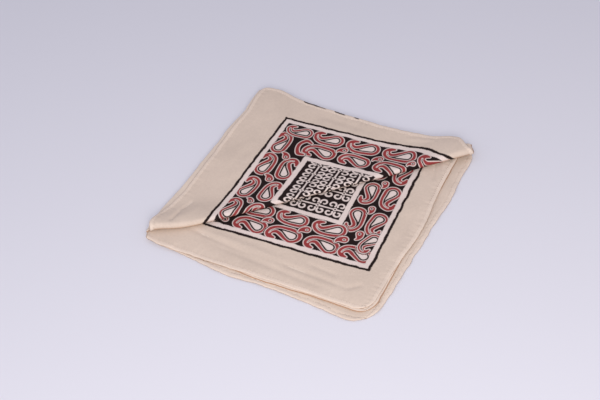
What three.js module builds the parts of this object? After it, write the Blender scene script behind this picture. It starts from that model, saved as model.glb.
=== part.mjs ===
import * as THREE from 'three';

// A square cotton bandana, folded in four with its printed side inward.
// The loose corner on top is turned back over the diagonal, which shows the print on both halves.
// Millimetres, +Z up. The cloth lies on z = 0 and the origin is under the middle of its outline.
//
// The sheet is first laid out flat, printed side up, with its middle at x = 0, y = 0.
// Its quarters are named by sign: x < 0 is folded over x > 0, and y > 0 is then folded under.
// The middle of the sheet becomes the far left corner of the folded cloth.

// Thickness of the cloth, of its rolled hem, and the air between two layers
const ply = 1.0;
const hemPly = 1.24;
const hemWidth = 5;
const air = 0.5;
const pitch = ply + air;

// The flat sheet's corners and the points where its hems cross the folds, in order round the sheet
const hemPoints = [
  { name: 'turned back corner', x: -284, y: -292, round: 16 },
  { name: 'near hem at the book fold', x: 0, y: -270, round: 0 },
  { name: 'upper near corner', x: 260, y: -268, round: 20 },
  { name: 'right hem at the under fold', x: 265, y: 0, round: 0 },
  { name: 'third corner', x: 258, y: 263, round: 20 },
  { name: 'near hem at the book fold, below', x: 0, y: 264, round: 0 },
  { name: 'lowest corner', x: -267, y: 284, round: 30 },
  { name: 'right hem at the under fold, below', x: -278, y: 0, round: 0 },
];

// Book fold along x = 0, and the fold under along y = 0
const bookRadius = pitch / 2;
const underRadius = pitch / 2;

// The turned back corner folds on a straight line, given by where it meets x = 0 and by its slope
// The fold isn't pressed: it stands open as a roll, most at its ends, and the flap settles behind it
const turnFoot = 272;
const turnSlope = 0.93;
const turn = { middleRadius: 2.6, endRadius: 4.2, endReach: 90, meanRadius: 3.4, settle: 24 };

// Lobes of the hems: which layer, which of its sides, place along that side, reach, way out
const lobes = [
  { layer: 'lowest', side: 'right', at: 92, reach: 40, out: 3.5 },
  { layer: 'lowest', side: 'right', at: 160, reach: 28, out: 2.5 },
  { layer: 'lowest', side: 'right', at: 214, reach: 30, out: 3 },
  { layer: 'lowest', side: 'near', at: 92, reach: 38, out: 3.5 },
  { layer: 'lowest', side: 'near', at: 232, reach: 30, out: 2.5 },
  { layer: 'upper', side: 'right', at: 146, reach: 46, out: 5.5 },
];
const lobeDepth = 36;
const hemDistance = 270;

// Moves of the far edge in the plane of the table: place along it, reach, move of flap and of layers
const edgeMoves = [
  { x: 33, reach: 22, flap: 5, layers: 3 },
  { x: 175, reach: 65, flap: 0, layers: -9 },
  { x: 236, reach: 60, flap: 9, layers: 0 },
];
const edgeDepth = 45;
const flapBlend = 18;

// Swells of the folded stack, as far as the top layer rises: middle, reach and rise
const swells = [
  { name: 'left end of the turned fold', x: 10, y: -262, reach: 30, rise: 1.6 },
  { name: 'right end of the turned fold', x: 262, y: -20, reach: 36, rise: 2.4 },
  { name: 'far corner, where both folds meet', x: 12, y: -10, reach: 42, rise: 1.8 },
  { name: 'near corner', x: 236, y: -244, reach: 40, rise: 0.8 },
  { name: 'flap beside the far hem', x: 150, y: -22, reach: 46, rise: 0.7 },
  { name: 'flap beside the left fold', x: 24, y: -140, reach: 40, rise: 0.6 },
  { name: 'hollow in the lower half', x: 170, y: -190, reach: 52, rise: -0.5 },
];

// Spacing of the mesh away from the folds, steps round each half circle of a fold, and round a corner
const meshStep = 16.5;
const meshReach = 258;
const foldSteps = 6;
const cornerSteps = 4;

// Middle of the folded outline, measured from its far left corner
const middle = { x: 139.398, y: -138.182 };

const bookHalf = (Math.PI * bookRadius) / 2;
const underHalf = (Math.PI * underRadius) / 2;
const stackDepth = 2 * underRadius + 2 * bookRadius + ply / 2;
const topLevel = stackDepth + 2 * bookRadius + pitch;

const bell = (distance, reach) => Math.exp(-((distance / reach) ** 2));

/** The sheet's outline with its corners rounded, as a shape. */
function sheetOutline() {
  const shape = new THREE.Shape();
  const points = hemPoints.map((p) => new THREE.Vector2(p.x, p.y));
  hemPoints.forEach(({ round }, i) => {
    const here = points[i];
    const before = points[(i + points.length - 1) % points.length];
    const after = points[(i + 1) % points.length];
    const enter = here.clone().lerp(before, round / here.distanceTo(before));
    const leave = here.clone().lerp(after, round / here.distanceTo(after));
    if (i === 0) shape.moveTo(enter.x, enter.y);
    else shape.lineTo(enter.x, enter.y);
    if (round > 0) shape.quadraticCurveTo(here.x, here.y, leave.x, leave.y);
  });
  shape.closePath();
  return shape;
}

/** Point where the side from p to q crosses a line, the same from either end. */
function crossing(p, q, sideP, sideQ) {
  const grain = 1e-3;
  const point = p.clone().lerp(q, sideP / (sideP - sideQ));
  return point.set(Math.round(point.x / grain) * grain, Math.round(point.y / grain) * grain);
}

/** Cuts the cells that belong along the line nx * x + ny * y = d. */
function cutAlong(cells, nx, ny, d, belongs = () => true) {
  const onLine = 0.02;
  const cut = [];
  for (const cell of cells) {
    const sides = cell.map((p) => nx * p.x + ny * p.y - d);
    if (sides.every((s) => s > -onLine) || sides.every((s) => s < onLine) || !belongs(cell)) {
      cut.push(cell);
      continue;
    }
    const over = [];
    const under = [];
    cell.forEach((p, i) => {
      const j = (i + 1) % cell.length;
      if (sides[i] > -onLine) over.push(p);
      if (sides[i] < onLine) under.push(p);
      if (Math.min(sides[i], sides[j]) <= -onLine && Math.max(sides[i], sides[j]) >= onLine) {
        const point = crossing(p, cell[j], sides[i], sides[j]);
        over.push(point);
        under.push(point);
      }
    });
    cut.push(over, under);
  }
  return cut;
}

// Direction of the turned fold in the folded cloth, the way across it, its foot and its length
const turnAlong = new THREE.Vector2(1, turnSlope).normalize();
const turnAcross = new THREE.Vector2(turnSlope, -1).normalize();
const turnStart = new THREE.Vector2(0, -turnFoot);
const turnLength = Math.hypot(1, turnSlope) * Math.abs(hemPoints[0].x);
const turnArc = Math.PI * turn.meanRadius;

/** Radius of the turned fold at a place along it: smaller in the middle, larger at both ends. */
function turnRadius(along) {
  const ends = bell(along, turn.endReach) + bell(along - turnLength, turn.endReach);
  return turn.middleRadius + (turn.endRadius - turn.middleRadius) * Math.min(ends, 1);
}

/** Places of the cuts that make a half circle of the given length round. */
function foldCuts(start, length) {
  return Array.from({ length: foldSteps + 1 }, (_, i) => start + (length * i) / foldSteps);
}

/** Points of the line along which the hem ends, one for each hem point. */
function hemEnds() {
  return hemPoints.map(({ x, y }) => ({ x: x - hemWidth * Math.sign(x), y: y - hemWidth * Math.sign(y) }));
}

/** Flat cells of the sheet, fine where it bends. */
function sheetCells() {
  let cells = [sheetOutline().getPoints(cornerSteps).slice(0, -1)];
  const across = foldCuts(-bookHalf, 2 * bookHalf);
  const along = foldCuts(-underHalf, 2 * underHalf);
  for (let place = meshStep / 2; place < meshReach; place += meshStep) {
    across.push(place, -place);
    along.push(place, -place);
  }
  for (const x of across) cells = cutAlong(cells, 1, 0, x);
  for (const y of along) cells = cutAlong(cells, 0, 1, y);
  const ends = hemEnds();
  ends.forEach((p, i) => {
    const q = ends[(i + 1) % ends.length];
    const inward = new THREE.Vector2(p.y - q.y, q.x - p.x).normalize();
    const sameQuarter = (cell) => {
      const middleX = cell.reduce((sum, v) => sum + v.x, 0) / cell.length;
      const middleY = cell.reduce((sum, v) => sum + v.y, 0) / cell.length;
      return middleX * (p.x + q.x) > 0 && middleY * (p.y + q.y) > 0;
    };
    cells = cutAlong(cells, inward.x, inward.y, inward.x * p.x + inward.y * p.y, sameQuarter);
  });
  for (const past of foldCuts(0, turnArc)) {
    cells = cutAlong(cells, -turnAcross.x, turnAcross.y, turnAcross.dot(turnStart) + past);
  }
  return cells;
}

/** Distance of a point of the top layer past the line of the turned fold. */
function pastTurn(x, y) {
  return new THREE.Vector2(x, y).sub(turnStart).dot(turnAcross);
}

/** Turns what lies past the diagonal of the top layer back over it. */
function turnCorner(x, y, z) {
  const past = pastTurn(x, y);
  if (past <= 0) return [x, y, z];
  const along = new THREE.Vector2(x, y).sub(turnStart).dot(turnAlong);
  const radius = turnRadius(along);
  let across = turnArc - past;
  let lift = pitch + (2 * radius - pitch) * bell(across, turn.settle);
  if (past < turnArc) {
    const angle = (past / turnArc) * Math.PI;
    across = radius * Math.sin(angle);
    lift = radius * (1 - Math.cos(angle));
  }
  const place = turnStart.clone().addScaledVector(turnAlong, along).addScaledVector(turnAcross, across);
  return [place.x, place.y, z + lift];
}

/** Folds x < 0 over x > 0, printed side inward. */
function foldBook(x, y, z) {
  if (x >= bookHalf) return [x, y, z];
  if (x <= -bookHalf) return [-x, y, 2 * bookRadius - z];
  const angle = (bookHalf - x) / bookRadius;
  const radius = bookRadius - z;
  return [bookHalf - radius * Math.sin(angle), y, bookRadius - radius * Math.cos(angle)];
}

/** Folds y > 0 under y < 0. */
function foldUnder(x, y, z) {
  if (y <= -underHalf) return [x, y, z];
  if (y >= underHalf) return [x, -y, -2 * underRadius - z];
  const angle = (y + underHalf) / underRadius;
  const radius = underRadius + z;
  return [x, -underHalf + radius * Math.sin(angle), -underRadius + radius * Math.cos(angle)];
}

/** Moves the hems of the lowest and of the upper layer out in soft lobes, in the flat sheet. */
function spreadLobes(x, y) {
  if (x * y >= 0) return [x, y];
  const layer = y > 0 ? 'lowest' : 'upper';
  const far = { x: Math.abs(x), y: Math.abs(y) };
  for (const { side, at, reach, out } of lobes.filter((lobe) => lobe.layer === layer)) {
    if (side === 'right') far.x += out * bell(Math.abs(y) - at, reach) * bell(Math.abs(x) - hemDistance, lobeDepth);
    else far.y += out * bell(Math.abs(x) - at, reach) * bell(Math.abs(y) - hemDistance, lobeDepth);
  }
  return [Math.sign(x) * far.x, Math.sign(y) * far.y];
}

/** Move along Y of the far edge, for the flap and for the layers below it. */
function edgeMove(x, y, flapShare) {
  let move = 0;
  for (const { x: at, reach, flap, layers } of edgeMoves) {
    move += (flap * flapShare + layers * (1 - flapShare)) * bell(x - at, reach);
  }
  return move * bell(y, edgeDepth);
}

/** Rise of the folded stack at a place, for the layer at the given height above the table. */
function swell(x, y, height) {
  const share = (height - ply / 2) / (topLevel - ply / 2);
  let rise = 0;
  for (const s of swells) rise += s.rise * bell(Math.hypot(x - s.x, y - s.y), s.reach);
  return rise * Math.min(Math.max(share, 0), 1);
}

/** Place in the folded cloth of a point of the flat sheet, on the middle of its thickness. */
function foldPoint(flatX, flatY) {
  let [x, y, z] = foldUnder(...foldBook(...spreadLobes(flatX, flatY), 0));
  let flapShare = 0;
  if (flatX < 0 && flatY < 0) {
    flapShare = THREE.MathUtils.smoothstep(pastTurn(x, y), turnArc, turnArc + flapBlend);
    [x, y, z] = turnCorner(x, y, z);
  }
  y += edgeMove(x, y, flapShare);
  z += stackDepth;
  return new THREE.Vector3(x - middle.x, y - middle.y, z + swell(x, y, z));
}

/** Whether a flat point lies on the edge of the sheet. */
function inHem(x, y) {
  const ends = hemEnds();
  return ends.some((p, i) => {
    const q = ends[(i + 1) % ends.length];
    const inward = new THREE.Vector2(p.y - q.y, q.x - p.x).normalize();
    return inward.x * (x - p.x) + inward.y * (y - p.y) < -hemWidth / 2;
  });
}

/** The folded cloth as one closed shell of even thickness, a little thicker at the hem. */
function foldedCloth() {
  const flat = [];
  const numbers = new Map();
  const numberOf = (p) => {
    const key = `${p.x} ${p.y}`;
    if (!numbers.has(key)) {
      numbers.set(key, flat.length);
      flat.push(p);
    }
    return numbers.get(key);
  };
  const triangles = [];
  for (const cell of sheetCells()) {
    const ring = cell.map(numberOf);
    for (let i = 1; i + 1 < ring.length; i += 1) triangles.push(ring[0], ring[i], ring[i + 1]);
  }

  const sheet = new THREE.BufferGeometry();
  sheet.setAttribute('position', new THREE.Float32BufferAttribute(flat.flatMap((p) => foldPoint(p.x, p.y).toArray()), 3));
  sheet.setIndex(triangles);
  sheet.computeVertexNormals();

  const count = flat.length;
  const positions = [];
  for (const side of [1, -1]) {
    flat.forEach((p, i) => {
      const extra = side > 0 && inHem(p.x, p.y) ? hemPly - ply : 0;
      const half = (side * ply) / 2 + extra;
      const place = new THREE.Vector3().fromBufferAttribute(sheet.attributes.position, i);
      const normal = new THREE.Vector3().fromBufferAttribute(sheet.attributes.normal, i);
      positions.push(...place.addScaledVector(normal, half).toArray());
    });
  }

  const faces = [...triangles];
  for (let i = 0; i < triangles.length; i += 3) {
    faces.push(triangles[i] + count, triangles[i + 2] + count, triangles[i + 1] + count);
  }
  const open = new Map();
  for (let i = 0; i < triangles.length; i += 3) {
    for (const [a, b] of [[0, 1], [1, 2], [2, 0]].map(([s, t]) => [triangles[i + s], triangles[i + t]])) {
      if (open.has(`${b} ${a}`)) open.delete(`${b} ${a}`);
      else open.set(`${a} ${b}`, [a, b]);
    }
  }
  for (const [a, b] of open.values()) faces.push(a, a + count, b, b, a + count, b + count);

  const shell = new THREE.BufferGeometry();
  shell.setAttribute('position', new THREE.Float32BufferAttribute(positions, 3));
  shell.setIndex(faces);
  shell.computeVertexNormals();
  return shell;
}

const cotton = new THREE.MeshStandardMaterial({ color: '#d3c3b2', roughness: 0.92, metalness: 0 });
const cloth = new THREE.Mesh(foldedCloth(), cotton);
cloth.name = 'cloth';

const bandana = new THREE.Group();
bandana.add(cloth);

export default bandana;
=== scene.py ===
"""Visual model of a square block-printed cotton bandana, folded in four with one corner turned back.

Sizes are in millimetres. Places in the folded cloth are measured from its far left corner, where both
folds meet: x runs along the far edge, y towards the far edge, and z up from the table.
"""

import logging
import math
from dataclasses import dataclass, field
from enum import Enum

import bpy
import numpy as np
from mathutils import Matrix, Vector

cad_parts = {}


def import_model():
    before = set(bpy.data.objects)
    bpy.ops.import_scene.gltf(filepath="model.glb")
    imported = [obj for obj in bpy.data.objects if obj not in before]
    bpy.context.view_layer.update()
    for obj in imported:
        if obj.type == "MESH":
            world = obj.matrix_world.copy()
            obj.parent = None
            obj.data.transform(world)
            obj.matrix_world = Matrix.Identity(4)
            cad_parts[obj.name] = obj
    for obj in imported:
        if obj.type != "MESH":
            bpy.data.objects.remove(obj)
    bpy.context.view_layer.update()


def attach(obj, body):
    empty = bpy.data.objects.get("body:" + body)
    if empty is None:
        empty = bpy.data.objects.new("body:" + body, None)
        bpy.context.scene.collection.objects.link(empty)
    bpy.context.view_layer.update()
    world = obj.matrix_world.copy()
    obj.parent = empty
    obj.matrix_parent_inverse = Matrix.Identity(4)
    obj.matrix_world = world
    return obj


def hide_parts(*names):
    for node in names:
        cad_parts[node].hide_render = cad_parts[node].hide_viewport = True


LOG = logging.getLogger("bandana")
MM = 0.001
NODE = "cloth"
BODY = "root"

Array = np.ndarray
Node = bpy.types.Node
Socket = bpy.types.NodeSocket
Material = bpy.types.Material
Pair = tuple[float, float]
Colour = tuple[float, float, float]


def bell(distance: Array, reach: float) -> Array:
    """Returns a soft hump that is 1 at no distance and falls off over the reach."""
    return np.exp(-((distance / reach) ** 2))


def smooth(value: Array, low: float, high: float) -> Array:
    """Returns 0 below low and 1 above high, with a smooth way between."""
    t = np.clip((value - low) / (high - low), 0.0, 1.0)
    return t * t * (3.0 - 2.0 * t)


@dataclass(frozen=True)
class Ripple:
    """Small uneven waves, the same for the same seed: their height, their mean length and the seed."""

    height: float
    length: float
    seed: int
    waves: int = 7
    spread: Pair = (0.6, 1.6)

    def at(self, x: Array, y: Array | float = 0.0) -> Array:
        """Sums a few plane waves of mixed directions.

        Args:
            x: Places along the first axis.
            y: Places along the second axis.

        Returns:
            The heights, most of them within the waves' height of 0.
        """
        draw = np.random.default_rng(self.seed)
        total = np.zeros(np.broadcast(x, y).shape)
        for _ in range(self.waves):
            turn, phase = draw.uniform(0.0, 2.0 * math.pi, 2)
            number = 2.0 * math.pi / (self.length * draw.uniform(*self.spread))
            total += np.sin(number * (math.cos(turn) * x + math.sin(turn) * y) + phase)
        return self.height * total / math.sqrt(self.waves * 2.0)


def turned(x: Array, y: Array, degrees: float) -> tuple[Array, Array]:
    """Measures places along axes that are turned from their own.

    Args:
        x: Places along the first axis.
        y: Places along the second axis.
        degrees: How far the new axes are turned.

    Returns:
        The places along the new axes.
    """
    turn = math.radians(degrees)
    return x * math.cos(turn) + y * math.sin(turn), y * math.cos(turn) - x * math.sin(turn)


class Layer(Enum):
    """Quarters of the sheet, named by the layer that each makes in the folded cloth."""

    TOP = 0
    UPPER = 1
    THIRD = 2
    LOWEST = 3


class Side(Enum):
    """Sides of the folded cloth: the way out at each, and the way in which its rows of drops head."""

    FAR = ((0.0, 1.0), (1.0, 0.0))
    LEFT = ((-1.0, 0.0), (0.0, -1.0))
    RIGHT = ((1.0, 0.0), (0.0, 1.0))
    NEAR = ((0.0, -1.0), (1.0, 0.0))


@dataclass(frozen=True)
class Quarter:
    """One quarter of the sheet, from the sheet's middle.

    Attributes:
        side: How far it reaches to the side, beside the other fold.
        near: How far it reaches to the near or far hem, beside the other fold.
        corner_x: How far its corner reaches to the side.
        corner_y: How far its corner reaches the other way.
        round: How far the corner's rounding reaches.
        wave: Size of its hems' small waves, in the plane of the cloth.
        lift: How far its hems rise.
        uneven: How uneven that rise is.
    """

    side: float
    near: float
    corner_x: float
    corner_y: float
    round: float
    wave: float
    lift: float
    uneven: float


@dataclass(frozen=True)
class Lobe:
    """A soft wave of one hem: its layer, its side, its place, its reach and its way out."""

    layer: Layer
    side: Side
    at: float
    reach: float
    out: float


@dataclass(frozen=True)
class EdgeMove:
    """A move of the far edge away from the near one, for the flap and for the layers below it."""

    at: float
    reach: float
    flap: float
    layers: float


@dataclass(frozen=True)
class FoldMove:
    """A move of the book fold to the right: its place, its reach and its size."""

    at: float
    reach: float
    right: float


@dataclass(frozen=True)
class Crease:
    """A soft trough or ridge that shows on one layer, from one place to another."""

    layer: Layer
    start: Pair
    end: Pair
    width: float
    height: float


@dataclass(frozen=True)
class Swell:
    """A rise of the whole stack at a place."""

    x: float
    y: float
    reach: float
    rise: float


@dataclass
class FoldPlan:
    """Takes each point of the flat sheet to its place in the folded cloth.

    Attributes:
        half: Half of the cloth's side.
        pitch: Height from one layer to the next.
        book_radius: Radius of the book fold, which lays the left half over the right half.
        under_radius: Radius of the fold under, which takes the far half under the near half.
        lowest_level: Height of the lowest layer above the table.
        middle: Place of the part's own origin.
        quarters: The sheet's quarters.
        hem_distance: Distance of an ordinary hem from the folds.
        lobe_depth: How far in from the hem a lobe is felt.
        lobes: The hems' soft waves.
        slow_wave: Height and length of the slower of the hems' small waves.
        quick_wave: The same for the quicker ones.
        wave_seeds: Seeds of the slower waves, more by one for each layer.
        quick_seed: What the quicker waves' seeds are more by.
        wave_fade: Distances from a fold over which the small waves grow.
        wave_edge: Where they are largest, and how far in from there they are felt.
        turn_foot: How far down the left edge the turned fold starts.
        turn_slope: Rise of the turned fold for its run.
        turn_middle: Its radius in its middle.
        turn_end: Its radius at both ends.
        turn_end_reach: How far along the fold the wider ends reach.
        turn_mean: Radius that sets how much cloth the fold takes up.
        turn_settle: How far past the fold the flap settles onto the layer below.
        turn_rise: How far the fold's near end is moved from the near edge.
        flap_blend: How far past the fold the flap goes its own way at the far edge.
        tip_out: How far the fold's near end is drawn out to the left.
        tip_before: How far before the fold that end's move starts.
        tip_grow: Distance from the book fold over which it grows.
        tip_at: Where it is largest, along the fold.
        tip_reach: How far along the fold it reaches.
        tip_out_reach: How far along the fold the end is drawn out.
        edge_depth: How far in from the far edge its moves are felt.
        edge_moves: Moves of the far edge.
        fold_depth: How far in from the book fold its moves are felt.
        fold_moves: Moves of the book fold.
        fold_wave: Small waves of the book fold.
        fold_wave_depth: How far in from the fold they are felt.
        swells: Rises of the stack.
        stack_waves: Soft waves of the stack.
        crease_fade: Shares of a crease's length over which it comes and goes.
        creases: Creases of the layers that show.
        lift_wave: The unevenness of the hems' rise.
        lift_depth: How far in from the edge it is felt.
        pucker: The small puckers that the hem's stitches draw.
        pucker_at: How far in from the edge the puckers are highest.
        pucker_reach: How far they reach from there.
        lift_fade: Distances from a fold over which rise and puckers grow.
        layer_step: What sets the waves of one layer's hems apart from the next layer's.
        side_step: What sets those of a side hem apart from those of the other hem.
    """

    half: float = 275.0
    pitch: float = 1.5
    book_radius: float = 0.75
    under_radius: float = 0.75
    lowest_level: float = 0.5
    middle: Pair = (139.398, -138.182)
    quarters: dict[Layer, Quarter] = field(
        default_factory=lambda: {
            Layer.TOP: Quarter(278.0, 270.0, 284.5, 297.0, 9.0, 0.55, 0.0, 0.3),
            Layer.UPPER: Quarter(265.0, 270.0, 260.0, 268.0, 20.0, 0.4, -0.7, 0.3),
            Layer.THIRD: Quarter(265.0, 264.0, 263.0, 271.0, 22.0, 0.4, -0.3, 0.2),
            Layer.LOWEST: Quarter(278.0, 267.0, 267.0, 282.0, 30.0, 0.6, 0.5, 0.45),
        }
    )
    hem_distance: float = 270.0
    lobe_depth: float = 36.0
    lobes: tuple[Lobe, ...] = (
        Lobe(Layer.LOWEST, Side.RIGHT, 28.0, 16.0, 2.5),
        Lobe(Layer.LOWEST, Side.RIGHT, 92.0, 40.0, 4.8),
        Lobe(Layer.LOWEST, Side.RIGHT, 160.0, 28.0, 2.5),
        Lobe(Layer.LOWEST, Side.RIGHT, 214.0, 30.0, 1.6),
        Lobe(Layer.LOWEST, Side.NEAR, 103.0, 34.0, 4.5),
        Lobe(Layer.LOWEST, Side.NEAR, 240.0, 26.0, 2.0),
        Lobe(Layer.UPPER, Side.RIGHT, 146.0, 46.0, 5.5),
        Lobe(Layer.THIRD, Side.NEAR, 140.0, 44.0, 3.5),
        Lobe(Layer.TOP, Side.NEAR, 0.0, 10.0, -9.0),
        Lobe(Layer.TOP, Side.NEAR, 34.0, 20.0, 4.5),
        Lobe(Layer.UPPER, Side.NEAR, 0.0, 12.0, -2.5),
        Lobe(Layer.THIRD, Side.NEAR, 0.0, 12.0, -2.0),
        Lobe(Layer.LOWEST, Side.NEAR, 0.0, 12.0, -2.0),
        Lobe(Layer.TOP, Side.RIGHT, 0.0, 8.0, -6.0),
        Lobe(Layer.TOP, Side.RIGHT, 42.0, 22.0, 9.0),
        Lobe(Layer.LOWEST, Side.RIGHT, 0.0, 9.0, -8.0),
    )
    slow_wave: Pair = (0.6, 24.0)
    quick_wave: Pair = (0.55, 9.0)
    wave_seeds: dict[Side, int] = field(default_factory=lambda: {Side.RIGHT: 31, Side.NEAR: 41})
    quick_seed: int = 5
    wave_fade: Pair = (4.0, 24.0)
    wave_edge: Pair = (272.0, 14.0)
    turn_foot: float = 272.0
    turn_slope: float = 0.93
    turn_middle: float = 2.6
    turn_end: float = 4.2
    turn_end_reach: float = 90.0
    turn_mean: float = 3.4
    turn_settle: float = 24.0
    turn_rise: float = 8.5
    flap_blend: float = 18.0
    tip_out: float = 5.0
    tip_before: float = 25.0
    tip_grow: float = 9.0
    tip_at: float = 8.0
    tip_reach: float = 30.0
    tip_out_reach: float = 24.0
    edge_depth: float = 45.0
    edge_moves: tuple[EdgeMove, ...] = (
        EdgeMove(26.0, 18.0, 5.0, 3.0),
        EdgeMove(175.0, 65.0, 0.0, -9.0),
        EdgeMove(236.0, 60.0, 10.5, 0.0),
    )
    fold_depth: float = 26.0
    fold_moves: tuple[FoldMove, ...] = (
        FoldMove(-274.0, 12.0, 7.5),
        FoldMove(-226.0, 30.0, -2.8),
        FoldMove(-130.0, 45.0, -0.6),
        FoldMove(-78.0, 20.0, -1.2),
        FoldMove(-42.0, 16.0, 1.2),
        FoldMove(-14.0, 14.0, -0.8),
    )
    fold_wave: Ripple = Ripple(0.45, 9.0, 61)
    fold_wave_depth: float = 5.0
    swells: tuple[Swell, ...] = (
        Swell(10.0, -262.0, 30.0, 1.6),
        Swell(262.0, -20.0, 36.0, 2.4),
        Swell(12.0, -10.0, 42.0, 1.8),
        Swell(236.0, -244.0, 40.0, 0.8),
        Swell(150.0, -22.0, 46.0, 0.7),
        Swell(24.0, -140.0, 40.0, 0.6),
        Swell(170.0, -190.0, 52.0, -0.5),
    )
    stack_waves: tuple[Ripple, ...] = (Ripple(0.32, 64.0, 3), Ripple(0.16, 27.0, 5))
    crease_fade: Pair = (-0.15, 0.25)
    creases: tuple[Crease, ...] = (
        Crease(Layer.UPPER, (38.0, -236.0), (120.0, -246.0), 3.2, -0.825),
        Crease(Layer.UPPER, (70.0, -247.0), (216.0, -257.0), 3.4, -0.75),
        Crease(Layer.UPPER, (60.0, -233.0), (150.0, -239.0), 4.0, 0.675),
        Crease(Layer.UPPER, (150.0, -243.0), (226.0, -248.0), 3.0, -0.825),
        Crease(Layer.UPPER, (178.0, -233.0), (214.0, -237.0), 2.6, -0.6),
        Crease(Layer.UPPER, (226.0, -249.0), (241.0, -238.0), 3.0, -0.75),
        Crease(Layer.UPPER, (252.0, -34.0), (262.0, -66.0), 3.2, 1.05),
        Crease(Layer.UPPER, (244.0, -44.0), (252.0, -70.0), 2.6, -0.9),
        Crease(Layer.UPPER, (236.0, -50.0), (238.0, -66.0), 2.8, 0.6),
        Crease(Layer.UPPER, (249.0, -120.0), (252.0, -180.0), 5.0, -0.6),
        Crease(Layer.TOP, (21.0, -243.0), (21.0, -222.0), 2.4, -1.5),
        Crease(Layer.TOP, (21.0, -222.0), (25.0, -203.0), 2.2, -1.05),
        Crease(Layer.TOP, (28.0, -236.0), (38.0, -206.0), 6.0, 0.75),
        Crease(Layer.TOP, (36.0, -150.0), (40.0, -96.0), 5.0, -0.525),
        Crease(Layer.TOP, (90.0, -18.0), (168.0, -24.0), 5.0, -0.6),
        Crease(Layer.TOP, (200.0, -20.0), (232.0, -14.0), 4.0, 0.75),
        Crease(Layer.LOWEST, (225.0, -277.0), (262.0, -270.0), 2.4, -0.6),
        Crease(Layer.LOWEST, (110.0, -273.0), (190.0, -276.0), 2.0, 0.45),
    )
    lift_wave: Ripple = Ripple(1.0, 26.0, 51)
    lift_depth: float = 9.0
    pucker: Ripple = Ripple(0.2, 5.5, 52)
    pucker_at: float = 5.5
    pucker_reach: float = 4.0
    lift_fade: Pair = (2.0, 20.0)
    layer_step: float = 90.0
    side_step: float = 45.0

    def __post_init__(self) -> None:
        """Works out the turned fold's directions, the half widths of the pressed folds and the levels."""
        run = math.hypot(1.0, self.turn_slope)
        self.turn_along = np.array([1.0, self.turn_slope]) / run
        self.turn_across = np.array([self.turn_slope, -1.0]) / run
        self.turn_length = run * self.quarters[Layer.TOP].corner_x
        self.turn_arc = math.pi * self.turn_mean
        self.book_half = math.pi * self.book_radius / 2.0
        self.under_half = math.pi * self.under_radius / 2.0
        self.stack_depth = self.lowest_level + 2.0 * (self.under_radius + self.book_radius)
        self.top_level = self.stack_depth + 2.0 * self.book_radius + self.pitch

    def layer_of(self, p: Array, q: Array) -> Array:
        """Returns the layer's number for places in the cloth."""
        near = np.where(p <= 0.0, Layer.TOP.value, Layer.UPPER.value)
        return np.where(q <= 0.0, near, np.where(p <= 0.0, Layer.LOWEST.value, Layer.THIRD.value))

    def flat(self, p: Array, q: Array) -> tuple[Array, Array]:
        """Stretches the square cloth to the real sheet, with round corners and wavy hems.

        Args:
            p: Places across the cloth, from its middle.
            q: Places along the cloth, from its middle.

        Returns:
            The places across and along the flat sheet.
        """
        far_x = np.abs(p).astype(float)
        far_y = np.abs(q).astype(float)
        layer = self.layer_of(p, q)
        for kind, quarter in self.quarters.items():
            here = layer == kind.value
            a, b = far_x[here] / self.half, far_y[here] / self.half
            a, b = self.round_corner(a, b, quarter.round / self.half)
            x = a * ((1.0 - b) * quarter.side + b * quarter.corner_x)
            y = b * ((1.0 - a) * quarter.near + a * quarter.corner_y)
            far_x[here] = x + self.hem_moves(y, x, kind, Side.RIGHT)
            far_y[here] = y + self.hem_moves(x, y, kind, Side.NEAR)
        return np.sign(p) * far_x, np.sign(q) * far_y

    @staticmethod
    def round_corner(a: Array, b: Array, share: float) -> tuple[Array, Array]:
        """Rounds the corner of a quarter.

        Args:
            a: Places across the quarter, as shares of its side.
            b: Places along it, as shares of its side.
            share: The corner's radius, as a share of the side.

        Returns:
            The moved places.
        """
        u = np.clip((a - 1.0 + share) / share, 0.0, 1.0)
        v = np.clip((b - 1.0 + share) / share, 0.0, 1.0)
        a = np.where(u > 0.0, 1.0 - share + share * u * np.sqrt(1.0 - v * v / 2.0), a)
        b = np.where(v > 0.0, 1.0 - share + share * v * np.sqrt(1.0 - u * u / 2.0), b)
        return a, b

    def hem_moves(self, along: Array, out: Array, layer: Layer, side: Side) -> Array:
        """Works out how far the lobes and small waves of one layer's hem move places outwards.

        Args:
            along: Places along the hem, from the fold.
            out: Distances of the places from the other fold.
            layer: The hem's layer.
            side: The hem's side.

        Returns:
            The moves.
        """
        total = np.zeros_like(out)
        for lobe in self.lobes:
            if lobe.layer is layer and lobe.side is side:
                depth = bell(out - self.hem_distance, self.lobe_depth)
                total += lobe.out * bell(along - lobe.at, lobe.reach) * depth
        seed = self.wave_seeds[side] + layer.value
        slow = Ripple(*self.slow_wave, seed).at(along)
        quick = Ripple(*self.quick_wave, seed + self.quick_seed).at(along)
        place, depth = self.wave_edge
        fade = smooth(along, *self.wave_fade) * bell(out - place, depth)
        return total + self.quarters[layer].wave * fade * (slow + quick)

    def turn_radius(self, along: Array) -> Array:
        """Returns the turned fold's radius: smaller in the middle and larger at both ends."""
        ends = bell(along, self.turn_end_reach) + bell(along - self.turn_length, self.turn_end_reach)
        return self.turn_middle + (self.turn_end - self.turn_middle) * np.minimum(ends, 1.0)

    def to_turn(self, x: Array, y: Array) -> tuple[Array, Array]:
        """Returns the place along the turned fold and the distance past it, for the top layer."""
        along = x * self.turn_along[0] + (y + self.turn_foot) * self.turn_along[1]
        return along, x * self.turn_across[0] + (y + self.turn_foot) * self.turn_across[1]

    def from_turn(self, along: Array, across: Array) -> tuple[Array, Array]:
        """Returns the x and y of places along the turned fold and across it."""
        x = along * self.turn_along[0] + across * self.turn_across[0]
        return x, along * self.turn_along[1] + across * self.turn_across[1] - self.turn_foot

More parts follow.
